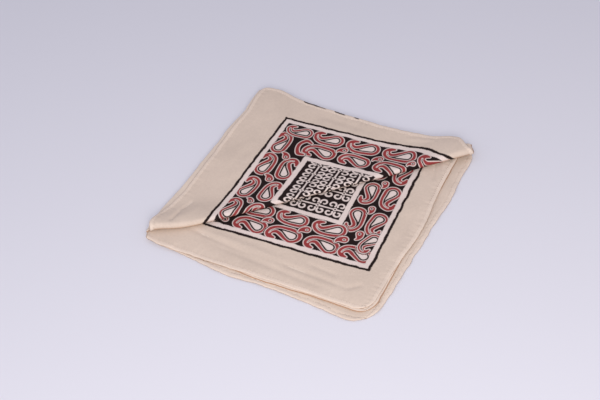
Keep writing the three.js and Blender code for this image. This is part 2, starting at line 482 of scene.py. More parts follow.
    def past_turn(self, p: Array, q: Array) -> Array:
        """Returns the distance past the turned fold's line, for places in the cloth folded in four."""
        x, y = self.flat(p, q)
        return self.to_turn(np.abs(x), -np.abs(y))[1]

    def panel_place(self, p: Array, q: Array, layer: Array) -> tuple[Array, Array]:
        """Returns where a point would lie if its layer's visible face were one flat plane.

        Args:
            p: Places across the cloth.
            q: Places along the cloth.
            layer: Number of the layer that each point is taken to belong to.

        Returns:
            The x and y in the plane of the visible face, in the folded cloth's axes.
        """
        x, y = self.flat(p, q)
        x, y = np.abs(x), -np.abs(y)
        along, past = self.to_turn(x, y)
        turned_x, turned_y = self.from_turn(along, self.turn_arc - past)
        top = layer == Layer.TOP.value
        return np.where(top, turned_x, x), np.where(top, turned_y, y)

    def press(self, x: Array, y: Array) -> tuple[Array, Array, Array]:
        """Folds the flat sheet in four: first the book fold, then the fold under.

        Args:
            x: Places across the flat sheet, from its middle.
            y: Places along the flat sheet, from its middle.

        Returns:
            The x, y and z of the places, with z from the upper layer's level.
        """
        angle = np.clip((self.book_half - x) / self.book_radius, 0.0, math.pi)
        z = self.book_radius * (1.0 - np.cos(angle))
        round_x = self.book_half - self.book_radius * np.sin(angle)
        x = np.where(np.abs(x) < self.book_half, round_x, np.abs(x))
        angle = np.clip((y + self.under_half) / self.under_radius, 0.0, math.pi)
        radius = self.under_radius + z
        round_y = -self.under_half + radius * np.sin(angle)
        y = np.where(np.abs(y) < self.under_half, round_y, -np.abs(y))
        return x, y, radius * np.cos(angle) - self.under_radius

    def turn_back(self, along: Array, past: Array) -> tuple[Array, Array, Array]:
        """Rolls the top layer's corner back over the turned fold, where the flap settles again.

        Args:
            along: Places along the turned fold.
            past: Distances past it.

        Returns:
            The x and y of the turned places, and their height over the unturned layer.
        """
        radius = self.turn_radius(along)
        angle = np.clip(past / self.turn_arc, 0.0, 1.0) * math.pi
        beyond = self.turn_arc - past
        in_arc = past < self.turn_arc
        x, y = self.from_turn(along, np.where(in_arc, radius * np.sin(angle), beyond))
        settled = self.pitch + (2.0 * radius - self.pitch) * bell(beyond, self.turn_settle)
        return x, y, np.where(in_arc, radius * (1.0 - np.cos(angle)), settled)

    def pull(self, x: Array, y: Array, flap: Array) -> tuple[Array, Array]:
        """Moves the far edge and the book fold in the plane of the table.

        Args:
            x: Places along the far edge.
            y: Places towards the far edge.
            flap: How far each point goes with the flap, from 0 to 1.

        Returns:
            The moved x and y.
        """
        away = np.zeros_like(x)
        for move in self.edge_moves:
            away += (move.flap * flap + move.layers * (1.0 - flap)) * bell(x - move.at, move.reach)
        y = y + away * bell(y, self.edge_depth)
        right = self.fold_wave.at(y) * bell(x, self.fold_wave_depth)
        for move in self.fold_moves:
            right += move.right * bell(y - move.at, move.reach) * bell(x, self.fold_depth)
        return x + right, y

    def fold(self, p: Array, q: Array) -> Array:
        """Folds points of the cloth.

        Args:
            p: Places across the cloth, from its middle.
            q: Places along the cloth, from its middle.

        Returns:
            Places in the folded cloth, an array of rows of x, y, z.
        """
        layer = self.layer_of(p, q)
        top = layer == Layer.TOP.value
        x, y, z = self.press(*self.flat(p, q))
        along, past = self.to_turn(x, y)
        turning = top & (past > 0.0)
        flap = turning * smooth(past, self.turn_arc, self.turn_arc + self.flap_blend)
        turned_x, turned_y, lift = self.turn_back(along, past)
        x = np.where(turning, turned_x, x)
        y = np.where(turning, turned_y, y)
        z = np.where(turning, z + lift, z) + self.stack_depth
        tip = top * smooth(past, -self.tip_before, 0.0) * smooth(x, 0.0, self.tip_grow)
        tip = tip * bell(along - self.tip_at, self.tip_reach)
        x = x - self.tip_out * tip * bell(along, self.tip_out_reach)
        x, y = self.pull(x, y + self.turn_rise * tip, flap)
        z = z + self.relief(x, y, z, layer, turning | ~top) + self.edge_lift(p, q, layer)
        return np.stack([x, y, z], axis=-1)

    def relief(self, x: Array, y: Array, z: Array, layer: Array, creased: Array) -> Array:
        """Works out the rise of the stack, its soft waves and the creases.

        Args:
            x: Places along the far edge.
            y: Places towards the far edge.
            z: Heights in the stack.
            layer: The points' layers.
            creased: Which points may be creased.

        Returns:
            What the points rise by.
        """
        share = np.clip((z - self.lowest_level) / (self.top_level - self.lowest_level), 0.0, 1.0)
        stack = sum(wave.at(x, y) for wave in self.stack_waves)
        for swell in self.swells:
            stack += swell.rise * bell(np.hypot(x - swell.x, y - swell.y), swell.reach)
        rise = stack * share
        for crease in self.creases:
            start = np.array(crease.start)
            way = np.array(crease.end) - start
            length = np.hypot(*way)
            way = way / length
            done = ((x - start[0]) * way[0] + (y - start[1]) * way[1]) / length
            aside = (y - start[1]) * way[0] - (x - start[0]) * way[1]
            ends = smooth(done, *self.crease_fade) * smooth(1.0 - done, *self.crease_fade)
            here = (layer == crease.layer.value) & creased
            rise += here * crease.height * ends * bell(aside, crease.width)
        return rise

    def edge_lift(self, p: Array, q: Array, layer: Array) -> Array:
        """Works out how far the hems rise or sag, with the small puckers that their stitches draw.

        Args:
            p: Places across the cloth.
            q: Places along the cloth.
            layer: The points' layers.

        Returns:
            What the points rise by.
        """
        far_p = np.abs(p)
        far_q = np.abs(q)
        inset = self.half - np.maximum(far_p, far_q)
        along = np.minimum(far_p, far_q)
        run = layer * self.layer_step + np.where(far_p > far_q, self.side_step, 0.0)
        slow = self.lift_wave.at(along, run)
        lift = self.pucker.at(along, run) * bell(inset - self.pucker_at, self.pucker_reach)
        for kind, quarter in self.quarters.items():
            rise = (quarter.lift + quarter.uneven * slow) * bell(inset, self.lift_depth)
            lift += (layer == kind.value) * rise
        return lift * smooth(along, *self.lift_fade)

    def metres(self, places: Array) -> Array:
        """Moves places of the folded cloth to the part's own origin, none under the table.

        Args:
            places: Rows of x, y, z.

        Returns:
            The same rows from the part's origin, in metres.
        """
        moved = places - np.array([self.middle[0], self.middle[1], 0.0])
        moved[..., 2] = np.maximum(moved[..., 2], 0.0)
        return moved * MM

    def normals(self, p: Array, q: Array) -> Array:
        """Works out the unit normals of the printed side.

        Args:
            p: Places across the cloth.
            q: Places along the cloth.

        Returns:
            A row of x, y, z for each point.
        """
        step = 0.05
        low_p = np.maximum(p - step, -self.half)
        high_p = np.minimum(p + step, self.half)
        low_q = np.maximum(q - step, -self.half)
        high_q = np.minimum(q + step, self.half)
        by_p = (self.fold(high_p, q) - self.fold(low_p, q)) / (high_p - low_p)[:, None]
        by_q = (self.fold(p, high_q) - self.fold(p, low_q)) / (high_q - low_q)[:, None]
        across = np.cross(by_p, by_q)
        return across / np.linalg.norm(across, axis=1, keepdims=True)


@dataclass(frozen=True)
class Panel:
    """The place of one quarter's printed square in the plane of its visible face.

    Attributes:
        centre: Place of its centre in the folded cloth.
        turn: Its turn, in degrees.
        wider: How much further out its frame's lines lie on the right.
        taller: The same on the near side.
        lefter: The same on the left.
        middle_down: How far the far edge of the black middle is moved down.
        down_to: Heights in the panel between which that move comes to its end.
    """

    centre: Pair
    turn: float
    wider: float = 1.0
    taller: float = 1.0
    lefter: float = 1.0
    middle_down: float = 0.0
    down_to: Pair = (45.0, 80.0)

    def frame(self, s: Array, t: Array) -> tuple[Array, Array]:
        """Works out places for the frame's lines, which lie further out on some sides.

        Args:
            s: Places across the panel.
            t: Places along the panel.

        Returns:
            The places on a panel whose lines all lie equally far out.
        """
        across = np.where(s > 0.0, s / self.wider, s / self.lefter)
        above = t + self.middle_down * (1.0 - smooth(t, *self.down_to))
        return across, np.where(t < 0.0, t / self.taller, above)

    def local(self, x: Array, y: Array) -> tuple[Array, Array]:
        """Measures places from the panel's centre, along its own sides.

        Args:
            x: Places along the folded cloth's far edge.
            y: Places towards it.

        Returns:
            The places across and along the panel.
        """
        return turned(x - self.centre[0], y - self.centre[1], self.turn)


@dataclass(frozen=True)
class Single:
    """One motif: its centre, its heading in degrees, the side that it hooks to and its size."""

    s: float
    t: float
    heading: float
    hook: float
    scale: float


@dataclass(frozen=True)
class MotifRow:
    """A row of drops beside one side of a panel.

    Attributes:
        side: The panel's side.
        depth: The row's distance from the panel's centre.
        hook: The side that its drops hook to: 1 outwards and -1 inwards.
        scale: The drops' size.
        places: The drops' places along the row.
        lean: How far a drop leans either way, in degrees.
        lean_step: How quickly the lean changes from drop to drop.
        uneven: How much the drops differ in size.
        uneven_step: How quickly their size changes from drop to drop.
    """

    side: Side
    depth: float
    hook: float
    scale: float
    places: tuple[float, ...]
    lean: float = 3.0
    lean_step: float = 2.1
    uneven: float = 0.03
    uneven_step: float = 1.7

    def drops(self) -> list[Single]:
        """Places the row's drops, each leaning and sized a little unlike the last.

        Returns:
            The drops.
        """
        out, ahead = self.side.value
        heading = math.degrees(math.atan2(ahead[1], ahead[0]))
        turn = ahead[0] * out[1] - ahead[1] * out[0]
        drops = []
        for number, place in enumerate(self.places):
            s = out[0] * self.depth + abs(ahead[0]) * place
            t = out[1] * self.depth + abs(ahead[1]) * place
            lean = self.lean * math.sin(self.lean_step * number + self.depth)
            size = 1.0 + self.uneven * math.sin(self.uneven_step * number + self.depth)
            drops.append(Single(s, t, heading + lean, self.hook * turn, self.scale * size))
        return drops


@dataclass(frozen=True)
class Lattice:
    """Where the clusters of scrolls stand, whether they are linked upright, and how they are squeezed."""

    columns: tuple[float, ...]
    rows: tuple[float, ...]
    upright: bool
    along: float = 1.0
    across: float = 1.0


Chain = tuple[tuple[float, float, float], ...]


@dataclass
class Blocks:
    """The carved blocks: drops with curled tails, buds, one open curl, and scrolls in fours.

    Attributes:
        far: A distance at which nothing is printed.
        gap: Width of the black line that a motif keeps clear of its neighbour.
        drop: The drop's outline, as strokes through x, y and half width.
        heart: The outline of the form inside the drop.
        bud: The bud's outline.
        bud_dot: The dot inside the bud.
        curl: The open curl in the flap's corner.
        steps: How many strokes are made of each given one, to round it.
        panels: The printed square of each quarter.
        drops: The rows of drops of each quarter that shows.
        buds: The buds between them.
        singles: Drops that stand apart from the rows.
        lattices: The places of the scrolls.
    """

    far: float = 20.0
    gap: float = 0.9
    drop: Chain = (
        (8.8, 1.0, 10.6),
        (1.0, -1.5, 8.6),
        (-7.0, -3.4, 6.5),
        (-13.0, -1.6, 5.6),
        (-15.8, 3.2, 4.7),
        (-13.4, 7.4, 3.7),
        (-8.6, 8.6, 2.5),
    )
    heart: Chain = (
        (8.6, 1.4, 3.8),
        (3.4, -0.6, 2.3),
        (-2.6, -2.9, 0.5),
        (-9.0, -3.6, -1.0),
        (-13.6, -0.6, -1.3),
        (-15.0, 3.4, -1.4),
    )
    bud: Chain = ((0.0, 0.0, 4.7), (3.4, 0.4, 3.9), (6.2, 2.0, 2.6), (7.0, 4.2, 1.8))
    bud_dot: Chain = ((-0.2, 0.4, -0.6), (0.2, 0.4, -0.6))
    curl: Chain = (
        (-44.0, 61.5, 2.4),
        (-51.0, 64.0, 3.4),
        (-56.5, 57.0, 3.3),
        (-56.0, 48.0, 3.1),
        (-52.0, 41.0, 3.4),
        (-45.5, 41.0, 2.8),
    )
    steps: int = 4
    panels: dict[Layer, Panel] = field(
        default_factory=lambda: {
            Layer.TOP: Panel((148.0, -129.0), 0.0, 1.27, 1.08, 1.0, 3.0),
            Layer.UPPER: Panel((143.6, -129.4), 2.0, 1.0, 1.0, 1.045),
            Layer.THIRD: Panel((141.0, -132.0), -1.0),
            Layer.LOWEST: Panel((146.0, -133.0), 1.0),
        }
    )
    drops: dict[Layer, tuple[MotifRow, ...]] = field(
        default_factory=lambda: {
            Layer.TOP: (
                MotifRow(Side.FAR, 74.6, 1.0, 1.02, (-29.0, 14.0, 57.5, 99.0)),
                MotifRow(Side.FAR, 52.6, -1.0, 1.02, (-29.5, 13.5, 56.5)),
                MotifRow(Side.LEFT, 76.0, 1.0, 0.97, (50.0, 10.5, -31.0, -70.0)),
                MotifRow(Side.LEFT, 52.6, -1.0, 0.97, (12.0, -30.0, -70.0)),
            ),
            Layer.UPPER: (
                MotifRow(Side.RIGHT, 75.6, 1.0, 0.95, (54.0, 12.5, -29.5)),
                MotifRow(Side.RIGHT, 54.0, -1.0, 0.95, (54.0, 12.5, -29.5)),
                MotifRow(Side.NEAR, 75.0, 1.0, 1.02, (-48.0, -9.0, 34.4, 72.0)),
                MotifRow(Side.NEAR, 53.2, -1.0, 1.0, (-50.0, -9.6, 33.0)),
            ),
        }
    )
    buds: dict[Layer, tuple[Single, ...]] = field(
        default_factory=lambda: {
            Layer.TOP: (
                Single(-4.5, 64.5, 186.0, 1.0, 1.05),
                Single(39.0, 64.0, 190.0, 1.0, 1.05),
                Single(77.0, 68.0, 200.0, 1.0, 0.9),
                Single(-61.5, 30.0, 112.0, 1.0, 1.05),
                Single(-62.0, -10.0, 116.0, 1.0, 1.1),
                Single(-63.0, -52.0, 116.0, 1.0, 0.9),
            ),
            Layer.UPPER: (
                Single(-77.0, -78.0, 165.0, 1.0, 0.9),
                Single(63.6, 33.0, -66.0, -1.0, 1.0),
                Single(64.0, -9.0, -70.0, -1.0, 0.98),
                Single(65.5, -48.0, -68.0, -1.0, 1.1),
                Single(-31.0, -63.0, 176.0, 1.0, 1.0),
                Single(11.0, -61.5, 190.0, 1.0, 1.1),
                Single(53.0, -61.0, 188.0, 1.0, 1.15),
            ),
        }
    )
    singles: dict[Layer, tuple[Single, ...]] = field(
        default_factory=lambda: {
            Layer.TOP: (Single(-66.0, 74.5, 0.0, 1.0, 0.88),),
            Layer.UPPER: (Single(78.5, -57.0, 68.0, -1.0, 0.8), Single(-76.0, -60.0, 60.0, 1.0, 0.95)),
        }
    )
    lattices: dict[Layer, Lattice] = field(
        default_factory=lambda: {
            Layer.TOP: Lattice((-19.5, 5.4, 31.0), (30.5, 15.1, 0.2, -15.5, -31.0), True, 1.3, 0.87),
            Layer.UPPER: Lattice((-34.1, -13.5, 7.1, 27.2), (27.0, 2.1, -23.6), False),
        }
    )

    def rounded(self, spine: Chain) -> Chain:
        """Puts a chain on a smooth curve through its points.

        Args:
            spine: The chain.

        Returns:
            The same chain with more points.
        """
        given = np.array(spine)
        ends = np.vstack([2.0 * given[0] - given[1], given, 2.0 * given[-1] - given[-2]])
        path = []
        for number in range(1, len(ends) - 2):
            before, start, end, after = ends[number - 1 : number + 3]
            for share in np.arange(self.steps) / self.steps:
                bend = 2.0 * before - 5.0 * start + 4.0 * end - after
                twist = 3.0 * (start - end) + after - before
                path.append(start + 0.5 * share * (end - before + share * (bend + share * twist)))
        path.append(given[-1])
        return tuple(tuple(point) for point in path)

    def chain(self, u: Array, v: Array, spine: Chain) -> Array:
        """Measures places from a chain of tapering strokes.

        Args:
            u: Places across the motif.
            v: Places along the motif.
            spine: The chain.

        Returns:
            The distances outside it, negative inside.
        """
        best = np.full(u.shape, self.far)
        for (ax, ay, start), (bx, by, end) in zip(spine, spine[1:]):
            length = (bx - ax) ** 2 + (by - ay) ** 2
            share = np.clip(((u - ax) * (bx - ax) + (v - ay) * (by - ay)) / length, 0.0, 1.0)
            away = np.hypot(u - ax - share * (bx - ax), v - ay - share * (by - ay))
            best = np.minimum(best, away - start - share * (end - start))
        return best

    def placed(self, layer: Layer) -> list[tuple[Single, Chain, Chain]]:
        """Lists every motif of a layer.

        Args:
            layer: The layer.

        Returns:
            Each motif's place, its outline and its heart, in the order of printing.
        """
        drops = [drop for row in self.drops.get(layer, ()) for drop in row.drops()]
        drops += self.singles.get(layer, ())
        motifs = [(drop, self.drop, self.heart) for drop in drops]
        motifs += [(bud, self.bud, self.bud_dot) for bud in self.buds.get(layer, ())]
        if layer is Layer.TOP:
            motifs.append((Single(0.0, 0.0, 0.0, 1.0, 1.0), self.curl, self.bud_dot))
        return [(place, self.rounded(outer), self.rounded(inner)) for place, outer, inner in motifs]

    def motifs(self, s: Array, t: Array, layer: Layer) -> tuple[Array, Array]:
        """Measures places from the motifs of one layer.

        Args:
            s: Places across the panel.
            t: Places along the panel.
            layer: The panel's layer.

        Returns:
            The distances outside the nearest motif and outside its heart.
        """
        motif = np.full(s.shape, self.far)
        core = np.full(s.shape, self.far)
        for place, outer, inner in self.placed(layer):
            u, v = turned((s - place.s) / place.scale, (t - place.t) / place.scale, place.heading)
            v = v * place.hook
            out = self.chain(u, v, outer) * place.scale
            nearer = (out < self.gap) | (out < motif)
            motif = np.where(nearer, out, motif)
            core = np.where(nearer, self.chain(u, v, inner) * place.scale, core)
        return motif, core

    def clusters(self, s: Array, t: Array, near: tuple[Array, Array], layer: Layer) -> Array:
        """Measures places from the nearest cluster of four scrolls.

        Args:
            s: Places across the panel.
            t: Places along the panel.
            near: Places across and along the panel by which the nearest cluster is chosen.
            layer: The panel's layer.

        Returns:
            Rows of the distances along the clusters' links and across them, and a spare 0.
        """
        result = np.zeros((len(s), 3))
        if layer not in self.lattices:
            result[:, :2] = self.far
            return result
        lattice = self.lattices[layer]
        columns = np.array(lattice.columns)
        rows = np.array(lattice.rows)
        from_column = s - columns[np.argmin(np.abs(near[0][:, None] - columns), axis=1)]
        from_row = t - rows[np.argmin(np.abs(near[1][:, None] - rows), axis=1)]
        along, across = (from_row, from_column) if lattice.upright else (from_column, from_row)
        result[:, 0] = along * lattice.along
        result[:, 1] = across * lattice.across
        return result


@dataclass
class Grid:
    """Cells of the cloth on one of its faces, some of them divided more finely.

    Attributes:
        lines: The cells' lines, the same both ways.
        fine: Which cells are divided.
        splits: Into how many parts each way.
    """

    lines: Array
    fine: Array
    splits: int

    def __post_init__(self) -> None:
        """Numbers the points that the cells use."""
        count = len(self.lines) - 1
        self.count = count
        used = np.zeros((count * self.splits + 1,) * 2, bool)
        used[:: self.splits, :: self.splits] = True
        for i, j in np.argwhere(self.fine):
            low_i, low_j = i * self.splits, j * self.splits
            used[low_i : low_i + self.splits + 1, low_j : low_j + self.splits + 1] = True
        self.used = used
        self.index = np.cumsum(used.ravel()).reshape(used.shape) - 1
        spots = np.argwhere(used)
        steps = np.arange(count * self.splits + 1) / self.splits
        places = np.interp(steps, np.arange(count + 1), self.lines)
        self.p = places[spots[:, 0]]
        self.q = places[spots[:, 1]]

    def edge(self, start: tuple[int, int], end: tuple[int, int]) -> list[int]:
        """Finds the points from one cell corner to the next.

        Args:
            start: Numbers of the first corner's lines.
            end: Numbers of the next corner's lines.

        Returns:
            The points' numbers, without the last.
        """
        points = []
        for step in range(self.splits):
            i = start[0] * self.splits + (end[0] - start[0]) * step
            j = start[1] * self.splits + (end[1] - start[1]) * step
            if self.used[i, j]:
                points.append(int(self.index[i, j]))
        return points

    def faces(self) -> list[list[int]]:
        """Makes a face of each cell, or many small ones where it is fine.

        Returns:
            Each face's points, wound as seen from the printed side.
        """
        faces = []
        for i in range(self.count):
            for j in range(self.count):
                if self.fine[i, j]:
                    low_i, low_j = i * self.splits, j * self.splits
                    part = self.index[low_i : low_i + self.splits + 1, low_j : low_j + self.splits + 1]
                    ring = (part[:-1, :-1], part[1:, :-1], part[1:, 1:], part[:-1, 1:])
                    faces += np.stack([corner.ravel() for corner in ring], axis=1).tolist()
                    continue
                corners = ((i, j), (i + 1, j), (i + 1, j + 1), (i, j + 1))
                face = []
                for number in range(4):
                    face += self.edge(corners[number], corners[(number + 1) % 4])
                faces.append(face)
        return faces

    def border(self) -> list[list[int]]:
        """Follows the border from cell to cell.

        Returns:
            The points beside each cell, each run with its last point too.
        """
        last = self.count
        ring = [(i, 0) for i in range(last)] + [(last, j) for j in range(last)]
        ring += [(i, last) for i in range(last, 0, -1)] + [(0, j) for j in range(last, 0, -1)]
        runs = []
        for number, corner in enumerate(ring):
            following = ring[(number + 1) % len(ring)]
            end = int(self.index[following[0] * self.splits, following[1] * self.splits])
            runs.append(self.edge(corner, following) + [end])
        return runs


def make_object(
    name: str, points: Array, faces: list[list[int]], finishes: list[Material]
) -> bpy.types.Object:
    """Makes a smooth mesh object in the scene.

    Args:
        name: Name of the object.
        points: Its points, in metres.
        faces: Its faces' point numbers.
        finishes: Its materials.

    Returns:
        The object, at the origin.
    """
    mesh = bpy.data.meshes.new(name)
    mesh.from_pydata(points.tolist(), [], faces)
    mesh.polygons.foreach_set("use_smooth", [True] * len(mesh.polygons))
    for finish in finishes:
        mesh.materials.append(finish)
    made = bpy.data.objects.new(name, mesh)
    bpy.context.scene.collection.objects.link(made)
    return made


def add_values(mesh: bpy.types.Mesh, name: str, values: Array, domain: str = "POINT") -> None:
    """Stores one number or one vector for each point or face corner.

    Args:
        mesh: The mesh.
        name: Name of the attribute.
        values: Its numbers, or its rows of three.
        domain: Whether it is stored at the points or at the corners.
    """
    kind = "FLOAT" if values.ndim == 1 else "FLOAT_VECTOR"
    layer = mesh.attributes.new(name, kind, domain)
    layer.data.foreach_set("value" if kind == "FLOAT" else "vector", values.astype(np.float32).ravel())


@dataclass
class PrintedSheet:
    """The printed cotton, as one thin closed sheet that follows every fold.

    Attributes:
        plan: How the cloth is folded.
        blocks: What is printed on it.
        thickness: The cotton's thickness.
        reach: Half of the sheet's side, up to the middle of the rolled hem.
        cells: How many cells lie between a pressed fold and the edge.
        splits: Into how many parts a fine cell of the printed face is divided.
        back_splits: The same for the back.
        fold_steps: How many cells lie in each half of a pressed fold.
        roll_before: Where the fine cells start, measured past the turned fold.
        roll_after: Where they end on the back.
        seen_from: The upper layer's cells are fine where p less q is more than this.
        fold_clear: Distance from the book fold at which the turned fold's painted shade starts.
    """

    plan: FoldPlan
    blocks: Blocks
    thickness: float = 0.45
    reach: float = 273.0
    cells: int = 41
    splits: int = 6
    back_splits: int = 3
    fold_steps: int = 3
    roll_before: float = -16.0
    roll_after: float = 30.0
    seen_from: float = 252.0
    fold_clear: float = 2.0

    def lines(self) -> Array:
        """Spaces the cells' lines: close together in the pressed folds, and even elsewhere.

        Returns:
            The lines' places.
        """
        half = self.plan.book_half
        fold = np.linspace(0.0, half, self.fold_steps + 1)[:-1]
        outer = np.linspace(half, self.reach, self.cells + 1)
        one_side = np.concatenate([fold, outer])
        return np.concatenate([-one_side[:0:-1], one_side])

    def masks(self, lines: Array) -> tuple[Array, Array]:
        """Chooses the cells that are divided more finely.

        Args:
            lines: The cells' lines.

        Returns:
            Which cells are fine on the printed face, and which on the back.
        """
        middle = (lines[1:] + lines[:-1]) / 2.0
        p, q = np.meshgrid(middle, middle, indexing="ij")
        layer = self.plan.layer_of(p, q)
        past = self.plan.past_turn(p, q)
        open_cloth = (np.abs(p) > self.plan.book_half) & (np.abs(q) > self.plan.book_half)
        top = layer == Layer.TOP.value
        upper = layer == Layer.UPPER.value
        front = open_cloth & ((top & (past > self.roll_before)) | (upper & (p - q > self.seen_from)))
        back = open_cloth & top & (past > self.roll_before) & (past < self.roll_after)
        return front, back

    def print_values(self, p: Array, q: Array, wanted: Array) -> Array:
        """Works out the print's distances at points.

        Args:
            p: Places across the cloth.
            q: Places along the cloth.
            wanted: Which points show the print closely.

        Returns:
            Columns of the distances outside the motifs and outside their hearts.
        """
        values = np.full((len(p), 2), self.blocks.far)
        layer = self.plan.layer_of(p, q)
        for kind in (Layer.TOP, Layer.UPPER):
            here = wanted & (layer == kind.value)
            x, y = self.plan.panel_place(p[here], q[here], layer[here])
            s, t = self.blocks.panels[kind].local(x, y)
            values[here, 0], values[here, 1] = self.blocks.motifs(s, t, kind)
        return values

    def build(self, printed: Material, plain: Material) -> bpy.types.Object:
        """Builds the sheet.

        Args:
            printed: Finish of the printed face.
            plain: Finish of the back.

        Returns:
            The sheet's object.
        """
        lines = self.lines()
        front_fine, back_fine = self.masks(lines)
        front = Grid(lines, front_fine, self.splits)
        back = Grid(lines, back_fine, self.back_splits)
        p = np.concatenate([front.p, back.p])
        q = np.concatenate([front.q, back.q])
        sides = np.concatenate([np.ones(len(front.p)), -np.ones(len(back.p))])
        offset = (sides * self.thickness / 2.0)[:, None]
        places = self.plan.fold(p, q) + self.plan.normals(p, q) * offset
        front_faces = front.faces()
        start = len(front.p)
        back_faces = [[number + start for number in reversed(face)] for face in back.faces()]
        rim = [
            ahead[::-1] + [number + start for number in behind]
            for ahead, behind in zip(front.border(), back.border())
        ]
        faces = front_faces + back_faces + rim
        sheet = make_object("printed_sheet", self.plan.metres(places), faces, [printed, plain])
        mesh = sheet.data
        finish = np.zeros(len(mesh.polygons), int)
        finish[len(front_faces) :] = 1
        mesh.polygons.foreach_set("material_index", finish)
        self.add_print(mesh, p, q, sides)
        return sheet

    def add_print(self, mesh: bpy.types.Mesh, p: Array, q: Array, sides: Array) -> None:
        """Stores the print's distances and the places in the cloth and in the panels.

        Args:
            mesh: The sheet's mesh.
            p: Its points' places across the cloth.
            q: Their places along the cloth.
            sides: 1 for points of the printed face and -1 for points of the back.
        """
        add_values(mesh, "cloth_mm", np.stack([p, q, sides], axis=-1))
        for name, values in zip(("motif_mm", "heart_mm"), self.print_values(p, q, sides > 0.0).T):
            add_values(mesh, name, values)
        # Distance past the turned fold, which places the painted shade along it.
        flap = (self.plan.layer_of(p, q) == Layer.TOP.value) & (np.abs(p) > self.fold_clear)
        add_values(mesh, "turn_mm", np.where(flap, self.plan.past_turn(p, q), -self.blocks.far))
        loops = np.zeros(len(mesh.loops), int)
        mesh.loops.foreach_get("vertex_index", loops)
        sizes = np.zeros(len(mesh.polygons), int)
        mesh.polygons.foreach_get("loop_total", sizes)
        panel, cluster = self.corner_values(p[loops], q[loops], sizes)
        add_values(mesh, "panel_mm", panel, "CORNER")
        add_values(mesh, "cluster_mm", cluster, "CORNER")

    def corner_values(self, p: Array, q: Array, sizes: Array) -> tuple[Array, Array]:
        """Works out the corners' places, with every corner of a face on the same panel and cluster.

        Args:
            p: The corners' places across the cloth.
            q: Their places along the cloth.
            sizes: How many corners each face has.

        Returns:
            Rows of the places in the panels, and of the distances from the clusters.
        """
        starts = np.concatenate([[0], np.cumsum(sizes)[:-1]])

        def middle(values: Array) -> Array:
            """Returns the mean of each face's corners."""
            return np.add.reduceat(values, starts) / sizes

        layer = np.repeat(self.plan.layer_of(middle(p), middle(q)), sizes)
        x, y = self.plan.panel_place(p, q, layer)
        middle_x = np.repeat(middle(x), sizes)
        middle_y = np.repeat(middle(y), sizes)
        local = np.zeros((len(p), 3))
        cluster = np.zeros((len(p), 3))
        for kind, panel in self.blocks.panels.items():
            here = layer == kind.value
            s, t = panel.local(x[here], y[here])
            local[here, 0], local[here, 1] = panel.frame(s, t)
            near = panel.local(middle_x[here], middle_y[here])
            cluster[here] = self.blocks.clusters(s, t, near, kind)
        return local, cluster


